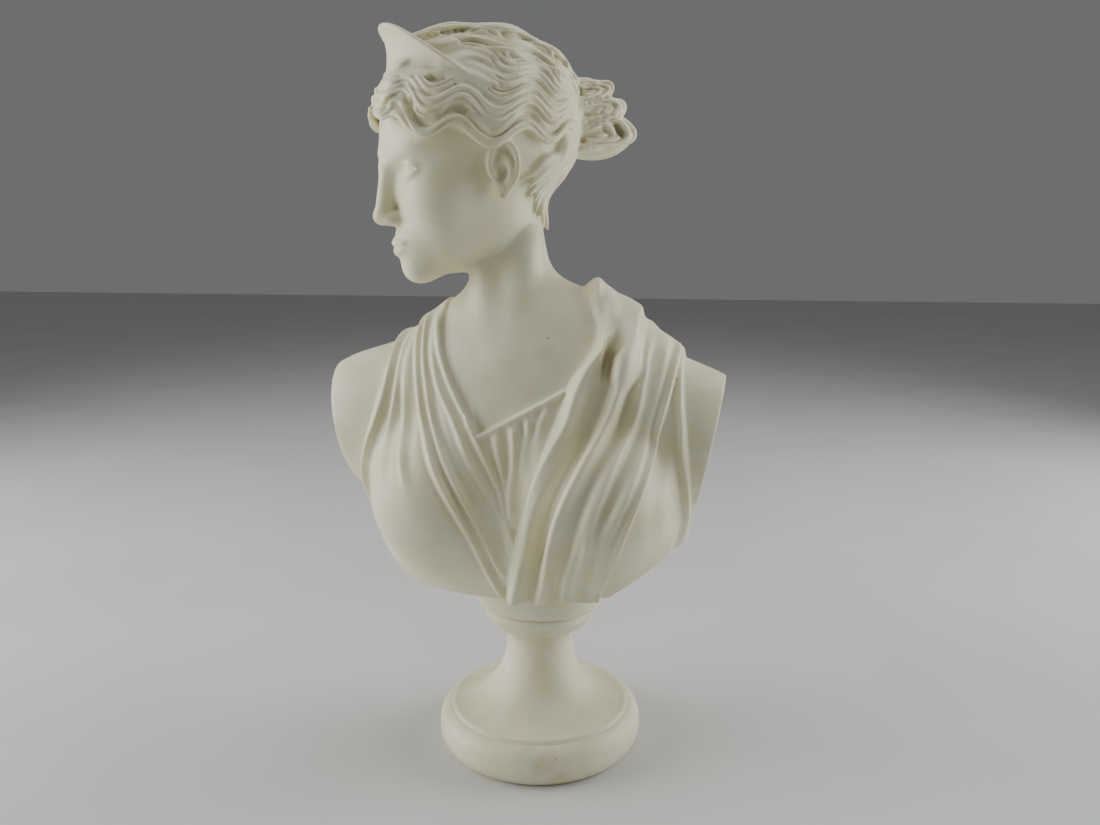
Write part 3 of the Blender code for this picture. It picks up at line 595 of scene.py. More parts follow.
# Strands: points along one, thickness of a broad and of a thin one, taper, rise in each wave
STRAND_POINTS = 72
BROAD_LOCK = 0.0270
THIN_LOCK = 0.014
TAPER = 0.08
WAVE_RISE = 0.006
# The roll over the brow: height, place and width as shares of the way
FRONT_ROLL = 0.018
ROLL_AT = 0.16
ROLL_WIDTH = 0.12
NAPE_LOCKS = 8
NAPE_WAVES = 2.7
NAPE_SWING = 0.020
NAPE_THICK = 0.0190
# How deep the last cuts go: between strands, between groups of them and on the knot
STRAND_CUT = 0.009
GROUP_CUT = 0.020
KNOT_CUT = 0.011


def layer_of(turn):
    """The layer of locks at this angle: 0 at the side, 1 over the brow and 2 on the crown."""
    return (turn < FRONT_LAYER) * 1 + (turn < CROWN_LAYER) * 1


def parting_at(turn):
    """Where the lock at this angle starts on the midline, lower for the locks at the side."""
    low = np.clip((turn - FRONT_LAYER) / (LOWEST_LOCK - FRONT_LAYER), 0, 1)
    height = PARTING_HIGH - PARTING_FALL * low
    drop = (height - SCALP_AT[2]) / SCALP_RADII[2]
    back = SCALP_AT[1] - PARTING_OUT * SCALP_RADII[1] * np.sqrt(1 - drop**2)
    return np.stack([0 * height, back, height], -1)


def knot_axis(parting):
    """The line from a parting to the knot, its direction, and the directions up and aside."""
    line = KNOT - parting
    ahead = line / np.linalg.norm(line, axis=-1, keepdims=True)
    up = np.array((0.0, 0.0, 1.0)) - ahead[..., 2:] * ahead
    up /= np.linalg.norm(up, axis=-1, keepdims=True)
    return line, ahead, up, np.cross(up, ahead)


def wave_drift(share, swing, phase):
    """How far the wave takes a lock aside, as an angle in radians."""
    calm = 0.45 + 0.55 * np.sin(np.pi * np.clip(share, 0, 1)) ** 0.7
    return swing * calm * np.sin(2 * np.pi * (WAVES * share + phase)) / SCALP_REACH


def scalp_point(share, angle, lift, parting):
    """A point over the scalp, at a share of the way from parting to knot and an angle round
    that axis from the crown, lifted off the scalp by a share of HEAD."""
    line, _, up, side = knot_axis(parting)
    base = parting + (0.5 - 0.5 * np.cos(np.pi * share))[:, None] * line
    out = np.cos(angle)[:, None] * up + np.sin(angle)[:, None] * side
    radii = SCALP_RADII + lift[:, None]
    rel = (base - SCALP_AT) / radii
    a = ((out / radii) ** 2).sum(1)
    b = (rel * out / radii).sum(1)
    c = (rel**2).sum(1) - 1
    reach = (np.sqrt(np.maximum(b * b - a * c, 0)) - b) / a
    return base + np.maximum(reach, 0)[:, None] * out


def strand(angle, start, end, thick, swing, phase, lift, parting):
    """One waved strand that tapers at both ends."""
    share = np.linspace(start, end, STRAND_POINTS)
    along = (share - start) / (end - start)
    spread = np.sin(np.pi * np.clip(share, 0.02, 0.98)) ** 0.6
    taper = np.clip(along / TAPER, 0, 1) ** 0.6 * np.clip((1 - along) / TAPER, 0, 1) ** 0.5
    roll = FRONT_ROLL * np.exp(-((share - ROLL_AT) / ROLL_WIDTH) ** 2)
    roll *= math.cos(math.radians(angle) / 2) ** 2
    height = lift + roll + WAVE_RISE * np.cos(2 * np.pi * (WAVES * share + phase) + 0.9)
    path = scalp_point(share, np.radians(angle) + wave_drift(share, swing, phase), height, parting)
    return path * HEAD, thick * (0.5 + 0.5 * spread) * (0.3 + 0.7 * taper) * HEAD


def hair_locks():
    """The broad locks, and a thin one that lies higher between each two."""
    strands = []
    count = int((LOWEST_LOCK - FIRST_LOCK) / LOCK_STEP)
    for side in (-1, 1):
        for k in range(count + 1):
            turn = FIRST_LOCK + LOCK_STEP * k + LOCK_WOBBLE * math.sin(WOBBLE_RATE * k)
            layer = layer_of(turn)
            lift = LAYER_LIFT[layer] + 0.008 * math.sin(2.6 * k + side)
            start, swing = LAYER_START[layer], LAYER_SWING[layer]
            phase = PHASE_STEP * k + LAYER_PHASE[layer] + LEFT_PHASE * (side > 0)
            thick = BROAD_LOCK + 0.004 * math.sin(1.7 * k + 2 * side)
            parting = parting_at(turn)
            strands.append(strand(side * turn, start, 0.97, thick, swing, phase, lift, parting))
            between = side * (turn + LOCK_STEP / 2)
            start, phase, lift = start + 0.04, phase + 0.02, lift + 0.012
            strands.append(strand(between, start, 0.95, THIN_LOCK, swing, phase, lift, parting))
    return strands


def laid_on(path, lift):
    """The path moved out along the skull and neck until it lies at a height over them."""
    bones = bone_masses()
    return settled(path, lambda spots: blended(spots, bones) - lift, 6, 0.004)


def nape_locks():
    """Small waved tufts that rise from the nape and from behind the ears to the knot."""
    strands = []
    s = np.linspace(0, 1, 40)[:, None]
    for side in (-1, 1):
        for k in range(NAPE_LOCKS):
            t = (k + 0.5) / NAPE_LOCKS
            out = side * 0.255 * math.cos(1.5 * t) ** 0.8
            foot = np.array((out, 0.115 + 0.20 * t, -0.10 - 0.26 * t**0.8))
            root = np.array((side * (0.105 - 0.095 * t), 0.415, 0.16 - 0.16 * t))
            bend = 0.5 * (foot + root) + np.array((side * 0.06, 0.06, -0.03 + 0.02 * (k % 2)))
            line = (1 - s) ** 2 * foot + 2 * s * (1 - s) * bend + s**2 * root
            ahead = root - foot
            across = np.cross(ahead / np.linalg.norm(ahead), np.array((side * 0.5, 0.85, 0)))
            wave = np.sin(2 * np.pi * (NAPE_WAVES * s + 0.07 * k + 0.06 * math.sin(3 * k)))
            line = line + across * wave * NAPE_SWING * np.sin(np.pi * np.clip(s, 0.05, 0.95))
            taper = np.clip(s[:, 0] / 0.25, 0.05, 1) ** 0.7
            thick = (NAPE_THICK + 0.002 * (k % 3)) * taper
            strands.append((laid_on(line, 0.011 + 0.008 * (k % 2)) * HEAD, thick * HEAD))
    return strands


def head_egg(centre, radii, sides=48):
    return egg(np.array(centre) * HEAD, np.array(radii) * HEAD, sides)


def scalp_cap():
    """The body of the hair under the locks, down to the hairline, and its raised crown."""
    cap = head_egg(SCALP_AT, SCALP_RADII)
    slice_off(cap, (0, -0.36 * HEAD, 0.245 * HEAD), (0, -0.47, -0.88))
    back = head_egg(SCALP_AT, SCALP_RADII)
    slice_off(back, (0, 0.12 * HEAD, 0), (0, -1, 0))
    slice_off(back, (0, 0.12 * HEAD, -0.06 * HEAD), (0, -0.78, -0.63))
    return [cap, back, head_egg((0, 0.065, 0.235), (0.250, 0.335, 0.262))]


def bundle(root, reach, high, wide, strands, rise, thick):
    """A bundle of strands that leaves the root, folds over at the back and returns, with the
    solid core under it."""
    root = np.array(root)
    made = []
    for size in (1.0, 0.55):
        for k in range(strands):
            x = (2 * (k + 0.5) / strands - 1) * 0.90
            round_off = math.sqrt(1 - x * x)
            turn = np.radians(np.linspace(118, -118, 36))
            back = reach * size * (0.35 + 0.65 * round_off) * np.cos(turn)
            up = high * size * (0.45 + 0.55 * round_off) * np.sin(turn)
            sway = 0.012 * np.sin(2 * turn + k)
            path = np.stack([wide * x + sway, back, up + rise * back + 0.010 * np.sin(3 * turn + k)], 1)
            width = thick * (1 + 0.16 * (-1) ** k) * (0.75 + 0.25 * round_off)
            made.append(((root + path) * HEAD, width * HEAD))
    return made, head_egg(root, (wide * 0.8, reach * 0.62, high * 0.62), 32)


# Bundles of the knot: root, reach, height, width, strands, rise and thickness of a strand
BUNDLES = (
    ((0.0, 0.52, 0.212), 0.125, 0.044, 0.085, 4, 0.05, 0.022),
    ((0.0, 0.52, 0.132), 0.175, 0.050, 0.105, 5, 0.0, 0.025),
    ((0.0, 0.52, 0.042), 0.205, 0.072, 0.120, 6, -0.08, 0.027),
)
# Strands that bind the knot: how far back, half width, half height and thickness
BINDERS = ((0.430, 0.112, 0.150, 0.022), (0.462, 0.100, 0.136, 0.018))


def knot():
    """Three bundles of hair doubled over behind the head, bound at the root by two strands.
    Gives the strands and the solid cores under them."""
    strands, cores = [], []
    for sizes in BUNDLES:
        made, core = bundle(*sizes)
        strands += made
        cores.append(core)
    cores.append(head_egg((0, 0.46, 0.115), (0.09, 0.085, 0.135), 32))
    for back, wide, high, thick in BINDERS:
        turn = np.radians(np.linspace(0, 360, 49))
        ring = np.stack([wide * np.cos(turn), 0 * turn + back, 0.120 + high * np.sin(turn)], 1)
        strands.append((ring * HEAD, thick * HEAD))
    return strands, cores


# Diadem

DIADEM_HALF_ANGLE = math.radians(88)
DIADEM_TALL = 0.228
DIADEM_WALL = 0.018
DIADEM_FOOT = 0.060
DIADEM_AT = 0.350
DIADEM_MIDDLE = 0.075
DIADEM_RADII = (0.305, 0.395)
DIADEM_SAG = 0.15
DIADEM_LEAN = 0.26


def crescent(angle):
    """The crescent's height at an angle from its middle, as a share of its full height."""
    flat = math.cos(DIADEM_HALF_ANGLE)
    return np.clip((np.cos(angle) - flat) / (1 - flat), 0, 1)


def diadem():
    """A crescent: an upright band round the front of the hair, its top edge in a plane that
    falls from the middle to both ends. Solidify gives the band its wall."""
    steps, rows = 96, 16
    verts, brim = [], []
    for i in range(steps + 1):
        angle = DIADEM_HALF_ANGLE * (2 * i / steps - 1)
        fall = crescent(angle)
        tall = DIADEM_TALL * fall * (1 - 0.06 * fall**8)
        for j in range(rows + 1):
            v = j / rows
            rise = -DIADEM_FOOT + (tall + DIADEM_FOOT) * v
            flare = fall * (0.030 * v**6 - 0.014 * math.sin(math.pi * v) - DIADEM_LEAN * rise)
            across = (DIADEM_RADII[0] + flare) * math.sin(angle)
            back = DIADEM_MIDDLE - (DIADEM_RADII[1] + flare) * math.cos(angle)
            verts.append((across, back, DIADEM_AT + rise - DIADEM_SAG * (1 - math.cos(angle))))
        brim.append(verts[-1])
    quads = [
        (a, a + rows + 1, a + rows + 2, a + 1)
        for i in range(steps)
        for a in range(i * (rows + 1), i * (rows + 1) + rows)
    ]
    mesh = bpy.data.meshes.new("diadem")
    mesh.from_pydata(verts, [], quads)
    mesh.transform(Matrix.Scale(HEAD, 4))
    band = link("diadem", mesh)
    wall = band.modifiers.new("wall", "SOLIDIFY")
    wall.thickness = DIADEM_WALL * HEAD
    wall.offset = 0
    return [applied(band), tube(np.array(brim) * HEAD, 0.62 * DIADEM_WALL * HEAD)]


def head_pose():
    turn = Matrix.Rotation(-math.radians(HEAD_TURN), 4, "Z")
    return Matrix.Translation(HEAD_AT) @ turn @ Matrix.Rotation(math.radians(HEAD_NOD), 4, "X")


def make_head(stone):
    """Face, hair, knot and diadem in one skin, cut off at the neck and set in its pose."""
    knot_strands, knot_cores = knot()
    hair = strands_of(hair_locks() + nape_locks() + knot_strands, stone)
    head = fuse([make_face(), *scalp_cap(), hair, *knot_cores, *diadem()], FINE_GRAIN)
    slice_off(head, (0, 0, -0.50 * HEAD), (0, 0, -1))
    head.data.transform(head_pose())
    return head


# Body and dress, in the figure's parts, with height counted from the joint on the socle


def body_masses():
    """Trunk, shoulders, breasts, neck and its muscles, collar bones and the mantle's roll."""
    return [
        ball((MIDDLE, 0, 84), (86, 50, 104)),
        ball((MIDDLE, 0, 50), (87, 50, 50), 14),
        ball((MIDDLE, 6, 118), (84, 36, 32), 26),
        *pair(80, 6, 102, (36, 32, 38), 22, (0, 14, 0), middle=MIDDLE, drop=5),
        *pair(100, 4, 103, (36, 27, 31), 20, (0, 20, 0), middle=MIDDLE, drop=5),
        *pair(38, 12, 137, (48, 24, 19), 15, (0, 15, 0), middle=MIDDLE, drop=2),
        *pair(42, -36, 71, (35, 30, 34), 18, middle=MIDDLE),
        limb((MIDDLE, 6, 134), (-20.5, 2.5, 212), 25, 20.5, 12),
        limb((-5, -7, 206), (MIDDLE - 3, -30, 140), 5.5, 4.5, 10),
        limb((-32, -8, 202), (MIDDLE - 9, -28, 140), 5.0, 4.5, 10),
        *pair(30, -22, 138, (30, 5, 5), 12, (0, 12, 14), middle=MIDDLE),
        limb((14, 26, 156), (34, -2, 162), 8.0, 8.5, 8),
        limb((34, -2, 162), (47, -28, 140), 8.5, 5.0, 8),
    ]


# Cloth on the chest and back. A guide line lists (height, x) from the shoulder down.

DRESS_EDGE = ((172, -77), (151, -79), (129, -82), (114, -86), (92, -93), (75, -98), (50, -99), (10, -84))
NECK_EDGE = ((172, -48), (161, -47), (143, -42), (129, -34), (109, -22), (79, -9), (50, 2), (10, 8))
MANTLE_EDGE = ((182, 24), (170, 31), (161, 35), (153, 34), (134, 23), (105, 13), (75, 4), (50, -4), (10, -12))
MANTLE_SIDE = ((182, 66), (157, 76), (126, 74), (100, 66), (65, 55), (25, 40), (10, 36))
SLEEVE_EDGE = ((165, 78), (126, 80), (103, 83), (81, 85), (50, 84), (10, 76))
BACK_NECK_EDGE = ((172, -48), (150, -40), (125, -16), (100, -4), (10, 0))
BACK_MANTLE_EDGE = ((182, 24), (158, 27), (130, 20), (96, 12), (60, 6), (10, 2))
BACK_MANTLE_SIDE = ((182, 66), (156, 76), (121, 82), (90, 80), (50, 68), (10, 50))
NECK_POINT = (-22.0, 109.0)
NECK_SLOPE = 0.54

# Folds, given one by one: height over the cloth, half width, and the guide line of the crest
DRESS_FOLDS = (
    (2.3, 2.2, ((172, -74), (129, -79), (114, -83), (92, -90), (75, -95), (50, -96), (16, -83))),
    (1.5, 2.2, ((160, -69), (119, -73), (100, -74), (82, -72))),
    (1.5, 2.4, ((160, -64), (119, -66), (97, -62), (84, -57))),
    (2.2, 2.1, ((168, -61), (135, -59), (117, -55), (100, -47), (80, -37), (58, -26), (16, -10))),
    (2.5, 1.9, ((168, -57), (135, -54), (117, -49), (100, -41), (80, -31), (58, -20), (34, -10))),
    (1.6, 2.2, ((168, -53), (131, -46), (114, -36), (93, -25), (69, -12), (46, -3))),
    (1.8, 1.9, ((168, -50), (143, -45), (129, -37), (119, -30), (109, -25), (79, -12), (50, -1), (30, 4))),
)
PANEL_FOLDS = (
    (1.5, 2.3, ((111, -14), (88, -9), (62, -5))),
    (1.9, 2.6, ((117, -5), (96, -4), (66, -3))),
    (1.4, 2.2, ((121, 4), (106, 3), (88, 2))),
    (1.3, 2.2, ((127, 13), (116, 10), (103, 8))),
)
MANTLE_FOLDS = (
    (3.0, 3.6, ((192, 25), (182, 28), (170, 35), (161, 39), (150, 37), (138, 28))),
    (4.2, 4.6, ((160, 38), (150, 38), (134, 29), (105, 19), (75, 10), (50, 2), (14, -6))),
    (-4.5, 3.2, ((178, 32), (166, 37), (150, 41), (138, 40))),
    (-3.4, 3.6, ((112, 33), (100, 29), (84, 22), (59, 12), (46, 8))),
    (5.4, 4.4, ((186, 38), (172, 46), (158, 48), (136, 47), (117, 41), (94, 33), (63, 21), (14, 6))),
    (3.6, 4.6, ((178, 56), (139, 59), (111, 52), (90, 44), (64, 33), (40, 25), (18, 19))),
    (-1.6, 3.0, ((150, 62), (120, 58), (92, 51), (70, 42))),
    (2.6, 5.4, ((178, 64), (123, 65), (100, 58), (66, 46), (14, 29))),
    (1.6, 2.4, ((70, 38), (44, 32), (18, 24))),
    (2.4, 2.8, ((178, 72), (126, 72), (100, 64), (65, 53), (18, 37))),
)
SLEEVE_FOLDS = (
    (1.8, 2.2, ((150, 79), (126, 77), (103, 80), (81, 82), (50, 81), (30, 76))),
    (0.9, 4.0, ((110, 74), (80, 72), (50, 70))),
)
BACK_FOLDS = (
    (2.0, 3.0, ((172, -72), (120, -82), (70, -84), (14, -72))),
    (1.7, 3.2, ((172, -62), (120, -62), (70, -52), (14, -42))),
    (1.7, 3.0, ((172, -54), (130, -44), (80, -28), (30, -20))),
    (2.8, 4.6, ((178, 33), (140, 30), (96, 20), (60, 14), (14, 8))),
    (2.6, 4.2, ((178, 45), (120, 40), (70, 30), (14, 20))),
    (2.4, 4.8, ((178, 57), (120, 56), (70, 46), (14, 33))),
    (2.2, 4.4, ((178, 66), (120, 70), (70, 62), (14, 44))),
)


def laid_folds(x, z, folds):
    """The sum of the folds' rounded crests, each steeper towards the figure's right and fading
    out at both ends of its guide line."""
    total = np.zeros(len(x))
    for height, width, line in folds:
        top, foot = line[0][0], line[-1][0]
        fade = ramp(z, foot - 6, foot + 8) * ramp(-z, -top - 2, -top + 8)
        sway = 0.8 * np.sin(z / 9 + 5 * width + height)
        off = (x - through(z, line) - sway) / width
        off *= np.where(off < 0, 1.5, 0.85)
        crest = np.exp(-(off**2)) - 0.28 * np.exp(-(((np.abs(off) - 1.9) / 0.8) ** 2))
        total += height * (1 + 0.16 * np.sin(z / 13 + 3 * height)) * crest * fade
    return total


def dress_height(x, z, inner, folds):
    """The thin dress on the figure's right, fanning down from the shoulder to its inner edge."""
    inside = ramp(x - through(z, DRESS_EDGE), -0.5, 1.0) * ramp(through(z, inner) - x, -0.5, 1.0)
    return inside * np.maximum(1.7 + laid_folds(x, z, folds), 0.6)


def panel_height(x, z):
    """The gathered panel under the neck edge, between dress and mantle, with its rolled hem."""
    x0, z0 = NECK_POINT
    drop = z0 + np.maximum(x - x0, 0) * NECK_SLOPE + np.maximum(x0 - x, 0) * 3 - z
    under = ramp(drop, -0.4, 0.9) * ramp(x, x0 - 6, x0) * ramp(through(z, MANTLE_EDGE) + 2 - x, 0, 4)
    gather = 0.3 * np.cos((x + 0.3 * z + 2.2 * np.sin(x / 5)) * 2 * np.pi / 6.4)
    gather *= ramp(drop, 0, 5) * ramp(-drop, -20, -8)
    rolled = 1.8 * np.exp(-(((drop - 1.7) / 1.5) ** 2))
    return under * (1.5 + rolled + gather + laid_folds(x, z, PANEL_FOLDS) * ramp(drop, 0, 8))


def mantle_height(x, z, inner, outer, folds):
    """The heavy mantle that falls from the left shoulder between its two edges."""
    rolled = 2.0 + 0.8 * ramp(z, 148, 168)
    inside = ramp(x - through(z, inner), -0.8, rolled) * ramp(through(z, outer) - x, -0.8, 2.0)
    return inside * np.maximum(4.2 + 3.2 * ramp(z, 120, 165) + laid_folds(x, z, folds), 0.8)


def turned_corner(x, z):
    """The corner of the neck edge, turned over outward as a small three-cornered flap."""
    across, up = x - NECK_POINT[0], z - NECK_POINT[1]
    from_neck = -(across * 12.0 + up * 7.3) / 14.05
    from_foot = (up * 6.6 + across * 1.3) / 6.73
    from_strap = across + 6.6 + 0.065 * (up - 1.3)
    return 5.0 * ramp(np.minimum.reduce([from_neck, from_foot, from_strap]), -0.3, 0.9)


def side_height(x, z):
    """The dress beside the mantle, with its hanging sleeve edge."""
    inside = ramp(x - through(z, MANTLE_SIDE), -10, 0) * ramp(through(z, SLEEVE_EDGE) - x, -0.6, 1.0)
    return inside * (1.7 + laid_folds(x, z, SLEEVE_FOLDS))


def between_height(x, z):
    """The cloth between dress and mantle on the back, hung in shallow loops under the neck."""
    sag = z + 0.0035 * (x - 2) ** 2
    loops = np.cos(sag * 2 * np.pi / 17)
    under = ramp(140 - 0.010 * (x - 2) ** 2 - z, -0.4, 1.5)
    return under * ramp(x, -60, -50) * ramp(-x, -32, -22) * (1.4 + 0.9 * loops * ramp(z, 60, 110))


def cloth_height(points):
    """How far the cloth raises each point: the front's and the back's, run together at the side."""
    x, y, z = points.T
    front = ramp(-y, -12, 8)
    chest = [
        dress_height(x, z, NECK_EDGE, DRESS_FOLDS),
        panel_height(x, z),
        mantle_height(x, z, MANTLE_EDGE, MANTLE_SIDE, MANTLE_FOLDS),
        side_height(x, z),
        turned_corner(x, z),
    ]
    back = [
        dress_height(x, z, BACK_NECK_EDGE, BACK_FOLDS[:3]),
        0.8 * mantle_height(x, z, BACK_MANTLE_EDGE, BACK_MANTLE_SIDE, BACK_FOLDS[3:]),
        between_height(x, z),
        side_height(x, z),
    ]
    return np.maximum.reduce(chest) * front + np.maximum.reduce(back) * (1 - front)


def make_body():
    """Chest, arms and neck, clothed and cut off at the hem and the arms."""
    masses = body_masses()
    body = settled_skin([solid_of(mass) for mass in masses], lambda points: blended(points, masses))
    points = points_of(body)
    place_points(body, points + normals_of(body) * cloth_height(points)[:, None])
    slice_off(body, (0, 0, HEM), (0, 0, -1))
    slice_off(body, (RIGHT_CUT, 0, ARM_CUT_HEIGHT), (-1, 0, -0.20))
    slice_off(body, (LEFT_CUT, 0, ARM_CUT_HEIGHT), (1, 0, -0.20))
    slice_off(body, (UNDERCUT, 0, HEM + 4), (0.58, 0, -0.81))
    return body


def plinth():
    """The short block under the hem, a little wider than the socle's ring and less deep."""
    wide = (RING_RADIUS + PLINTH_OVERHANG) / PART
    block = egg((0, 0, 8), (wide, wide - PLINTH_FLATNESS / PART, 30), 48)
    slice_off(block, (0, 0, 0), (0, 0, -1))
    slice_off(block, (0, 0, HEM + 4), (0, 0, 1))
    return block


# Last cuts on the head, made in the fused skin


def round_the_knot(spots, parting):
    """Where points of the head lie on the locks' meridians: share of the way and angle."""
    line, ahead, up, side = knot_axis(parting)
    rel = spots - parting
    along = np.clip((rel * ahead).sum(1) / np.linalg.norm(line, axis=1), 0, 1)
    return np.arccos(1 - 2 * along) / np.pi, np.arctan2((rel * side).sum(1), (rel * up).sum(1))


def on_diadem(spots):
    """Whether points of the head lie on the diadem's band."""
    across, back = spots[:, 0] / DIADEM_RADII[0], (spots[:, 1] - DIADEM_MIDDLE) / DIADEM_RADII[1]
    angle = np.arctan2(across, -back)
    rise = spots[:, 2] - DIADEM_AT + DIADEM_SAG * (1 - np.cos(angle))
    lean = DIADEM_LEAN * rise * crescent(angle) / np.mean(DIADEM_RADII)
    off = np.hypot(across, back) - 1 + lean
    wall = 0.09 + 0.07 * ramp(rise, 0.04, 0.12)
    return (np.abs(off) < wall) & (rise > -0.072) & (np.abs(angle) < DIADEM_HALF_ANGLE)


def hair_cuts(spots):
    """Depth of the cuts between strands and between groups of them, which follow the locks."""
    angle = np.full(len(spots), 1.0)
    for _ in range(3):
        share, angle = round_the_knot(spots, parting_at(np.degrees(np.abs(angle))))
    turn, side = np.degrees(np.abs(angle)), np.sign(angle)
    layer = layer_of(turn)
    phase = np.array(LAYER_PHASE)[layer] + LEFT_PHASE * (side > 0)
    phase += PHASE_STEP * (turn - FIRST_LOCK) / LOCK_STEP
    drift = wave_drift(share, np.array(LAYER_SWING)[layer], phase)
    home = turn - side * np.degrees(drift) - FIRST_LOCK
    lock = (home - LOCK_WOBBLE * np.sin(WOBBLE_RATE * home / LOCK_STEP)) / LOCK_STEP
    strands = (0.5 - 0.5 * np.cos(4 * np.pi * lock)) ** 2
    groups = (0.5 + 0.5 * np.cos(2 * np.pi * (lock - 0.5 + 0.12 * np.sin(9 * share)) / 3)) ** 6
    over = np.linalg.norm((spots - SCALP_AT) / SCALP_RADII, axis=1)
    hair = ramp(over, 0.985, 1.01) * ramp(share, 0.04, 0.14) * ramp(-share, -0.93, -0.80)
    hair *= ramp(-turn, -LOWEST_LOCK - 2, -LOWEST_LOCK + 5) * (over < 1.5) * (spots[:, 1] < 0.43)
    hair *= ramp(np.minimum(np.abs(turn - CROWN_LAYER), np.abs(turn - FRONT_LAYER)), 0.5, 4.0)
    ear = np.linalg.norm((np.abs(spots) - np.abs(EAR_AT)) / (0.07, 0.11, 0.14), axis=1)
    hair *= ramp(ear, 0.9, 1.1) * ~on_diadem(spots)
    return hair * (STRAND_CUT * strands + GROUP_CUT * groups)


def knot_cuts(spots):
    """Depth of the cuts on the knot, which run round each of its bundles."""
    deepest = np.zeros(len(spots))
    for root, reach, high, wide, _, rise, _ in BUNDLES:
        out = spots - np.array(root)
        back, up = out[:, 1] / reach, (out[:, 2] - rise * out[:, 1]) / high
        around = np.hypot(back, up) + 0.06 * np.sin(3 * np.arctan2(up, back) + 20 * root[2])
        cuts = (0.5 + 0.5 * np.cos(2 * np.pi * around / 0.33)) ** 3 * (around > 0.2)
        near = ramp(-around, -1.35, -1.15) * ramp(np.abs(out[:, 0]) / wide, 0.25, 0.5)
        deepest = np.maximum(deepest, cuts * near * ramp(spots[:, 1], 0.475, 0.500))
    return KNOT_CUT * deepest


def carve_head(bust):
    """The last cuts on the head: between the strands of hair, and crisp eyelids, nose and lips."""
    turn = np.array(head_pose().to_3x3())
    points = points_of(bust)
    spots = (points - np.array(HEAD_AT)) @ turn / HEAD
    head = (spots[:, 2] > -0.25) & (np.linalg.norm(spots, axis=1) < 0.8)
    cut = np.zeros(len(points))
    cut[head] = hair_cuts(spots[head]) + knot_cuts(spots[head])
    points -= normals_of(bust) * cut[:, None] * HEAD
    x, y, z = spots.T
    face = (y < -0.20) & (np.abs(x) < 0.23) & (z < 0.055) & (z > -0.41)
    masses = head_masses()

    def distance(near):
        return with_lips(near, with_lids(near, blended(near, masses)))

    crisp = settled(spots[face], distance, 2, 0.002, 0.03)
    points[face] = crisp * HEAD @ turn.T + np.array(HEAD_AT)
    place_points(bust, points)


# Bust: body, head and plinth fused into one skin


def make_bust(stone):
    bust = fuse([make_body(), make_head(stone), plinth()], FINE_GRAIN)
    bust = soften(bust, 1)
    carve_head(bust)
    slice_off(bust, (0, 0, 0), (0, 0, -1))
    keep_outer_skin(bust)
    bust.data.calc_loop_triangles()
    thin = bust.modifiers.new("fewer faces", "DECIMATE")
    thin.ratio = min(1.0, BUST_TRIANGLES / len(bust.data.loop_triangles))
    bust = applied(bust)
    bust.data.transform(Matrix.Translation((0, 0, BUST_LOW[2])) @ Matrix.Scale(PART, 4))
    bust.name = bust.data.name = "bust-carving"
    bust.data.shade_smooth()
    return bust


# Socle: a grid whose rows are the points of the turned profile, bent round by geometry nodes


def bow(start, end, bulge, steps):
    """Points from start to end along a shallow arc that bulges sideways by a share of its length."""
    (r0, z0), (r1, z1) = start, end
    points = []
    for k in range(steps + 1):
        t = k / steps
        out = bulge * 4 * t * (1 - t)
        points.append((r0 + (r1 - r0) * t - out * (z1 - z0), z0 + (z1 - z0) * t + out * (r1 - r0)))
    return points


def hollow(top, bottom, steps):
    """Points down a quarter ellipse that leaves top upright and reaches bottom nearly level."""
    (r0, z0), (r1, z1) = top, bottom
    angles = [math.pi / 2 * k / steps for k in range(steps + 1)]
    return [(r1 - (r1 - r0) * math.cos(a), z0 - (z0 - z1) * math.sin(a)) for a in angles]


def socle_profile():
    """Radius and height down the socle's side, from its top to its underside."""
    ring_foot = SOCLE_HEIGHT - RING_HEIGHT
    groove = FOOT_RADIUS - GROOVE_INSET
    widest = (FOOT_RADIUS, 0.55 * FOOT_RIM)
    top = RING_RADIUS - TOP_EDGE
    foot = FOOT_RADIUS - FOOT_TUCK
    points = [(0, SOCLE_HEIGHT), (top - EASE, SOCLE_HEIGHT), (top, SOCLE_HEIGHT)]
    points += bow((RING_RADIUS, SOCLE_HEIGHT - TOP_EDGE), (WAIST_RADIUS + RING_LEDGE, ring_foot), 0.15, 10)
    points += hollow((WAIST_RADIUS, WAIST_AT), (groove, FOOT_RIM + GROOVE_DEPTH), 28)
    points += [(groove + GROOVE_DRAFT, FOOT_RIM)]
    points += bow((groove + GROOVE_DRAFT + GROOVE_WIDTH, FOOT_RIM), widest, 0.17, 10)
    points += bow(widest, (foot, 0), 0.14, 10)[1:]
    return points + [(foot - EASE, 0), (0, 0)]


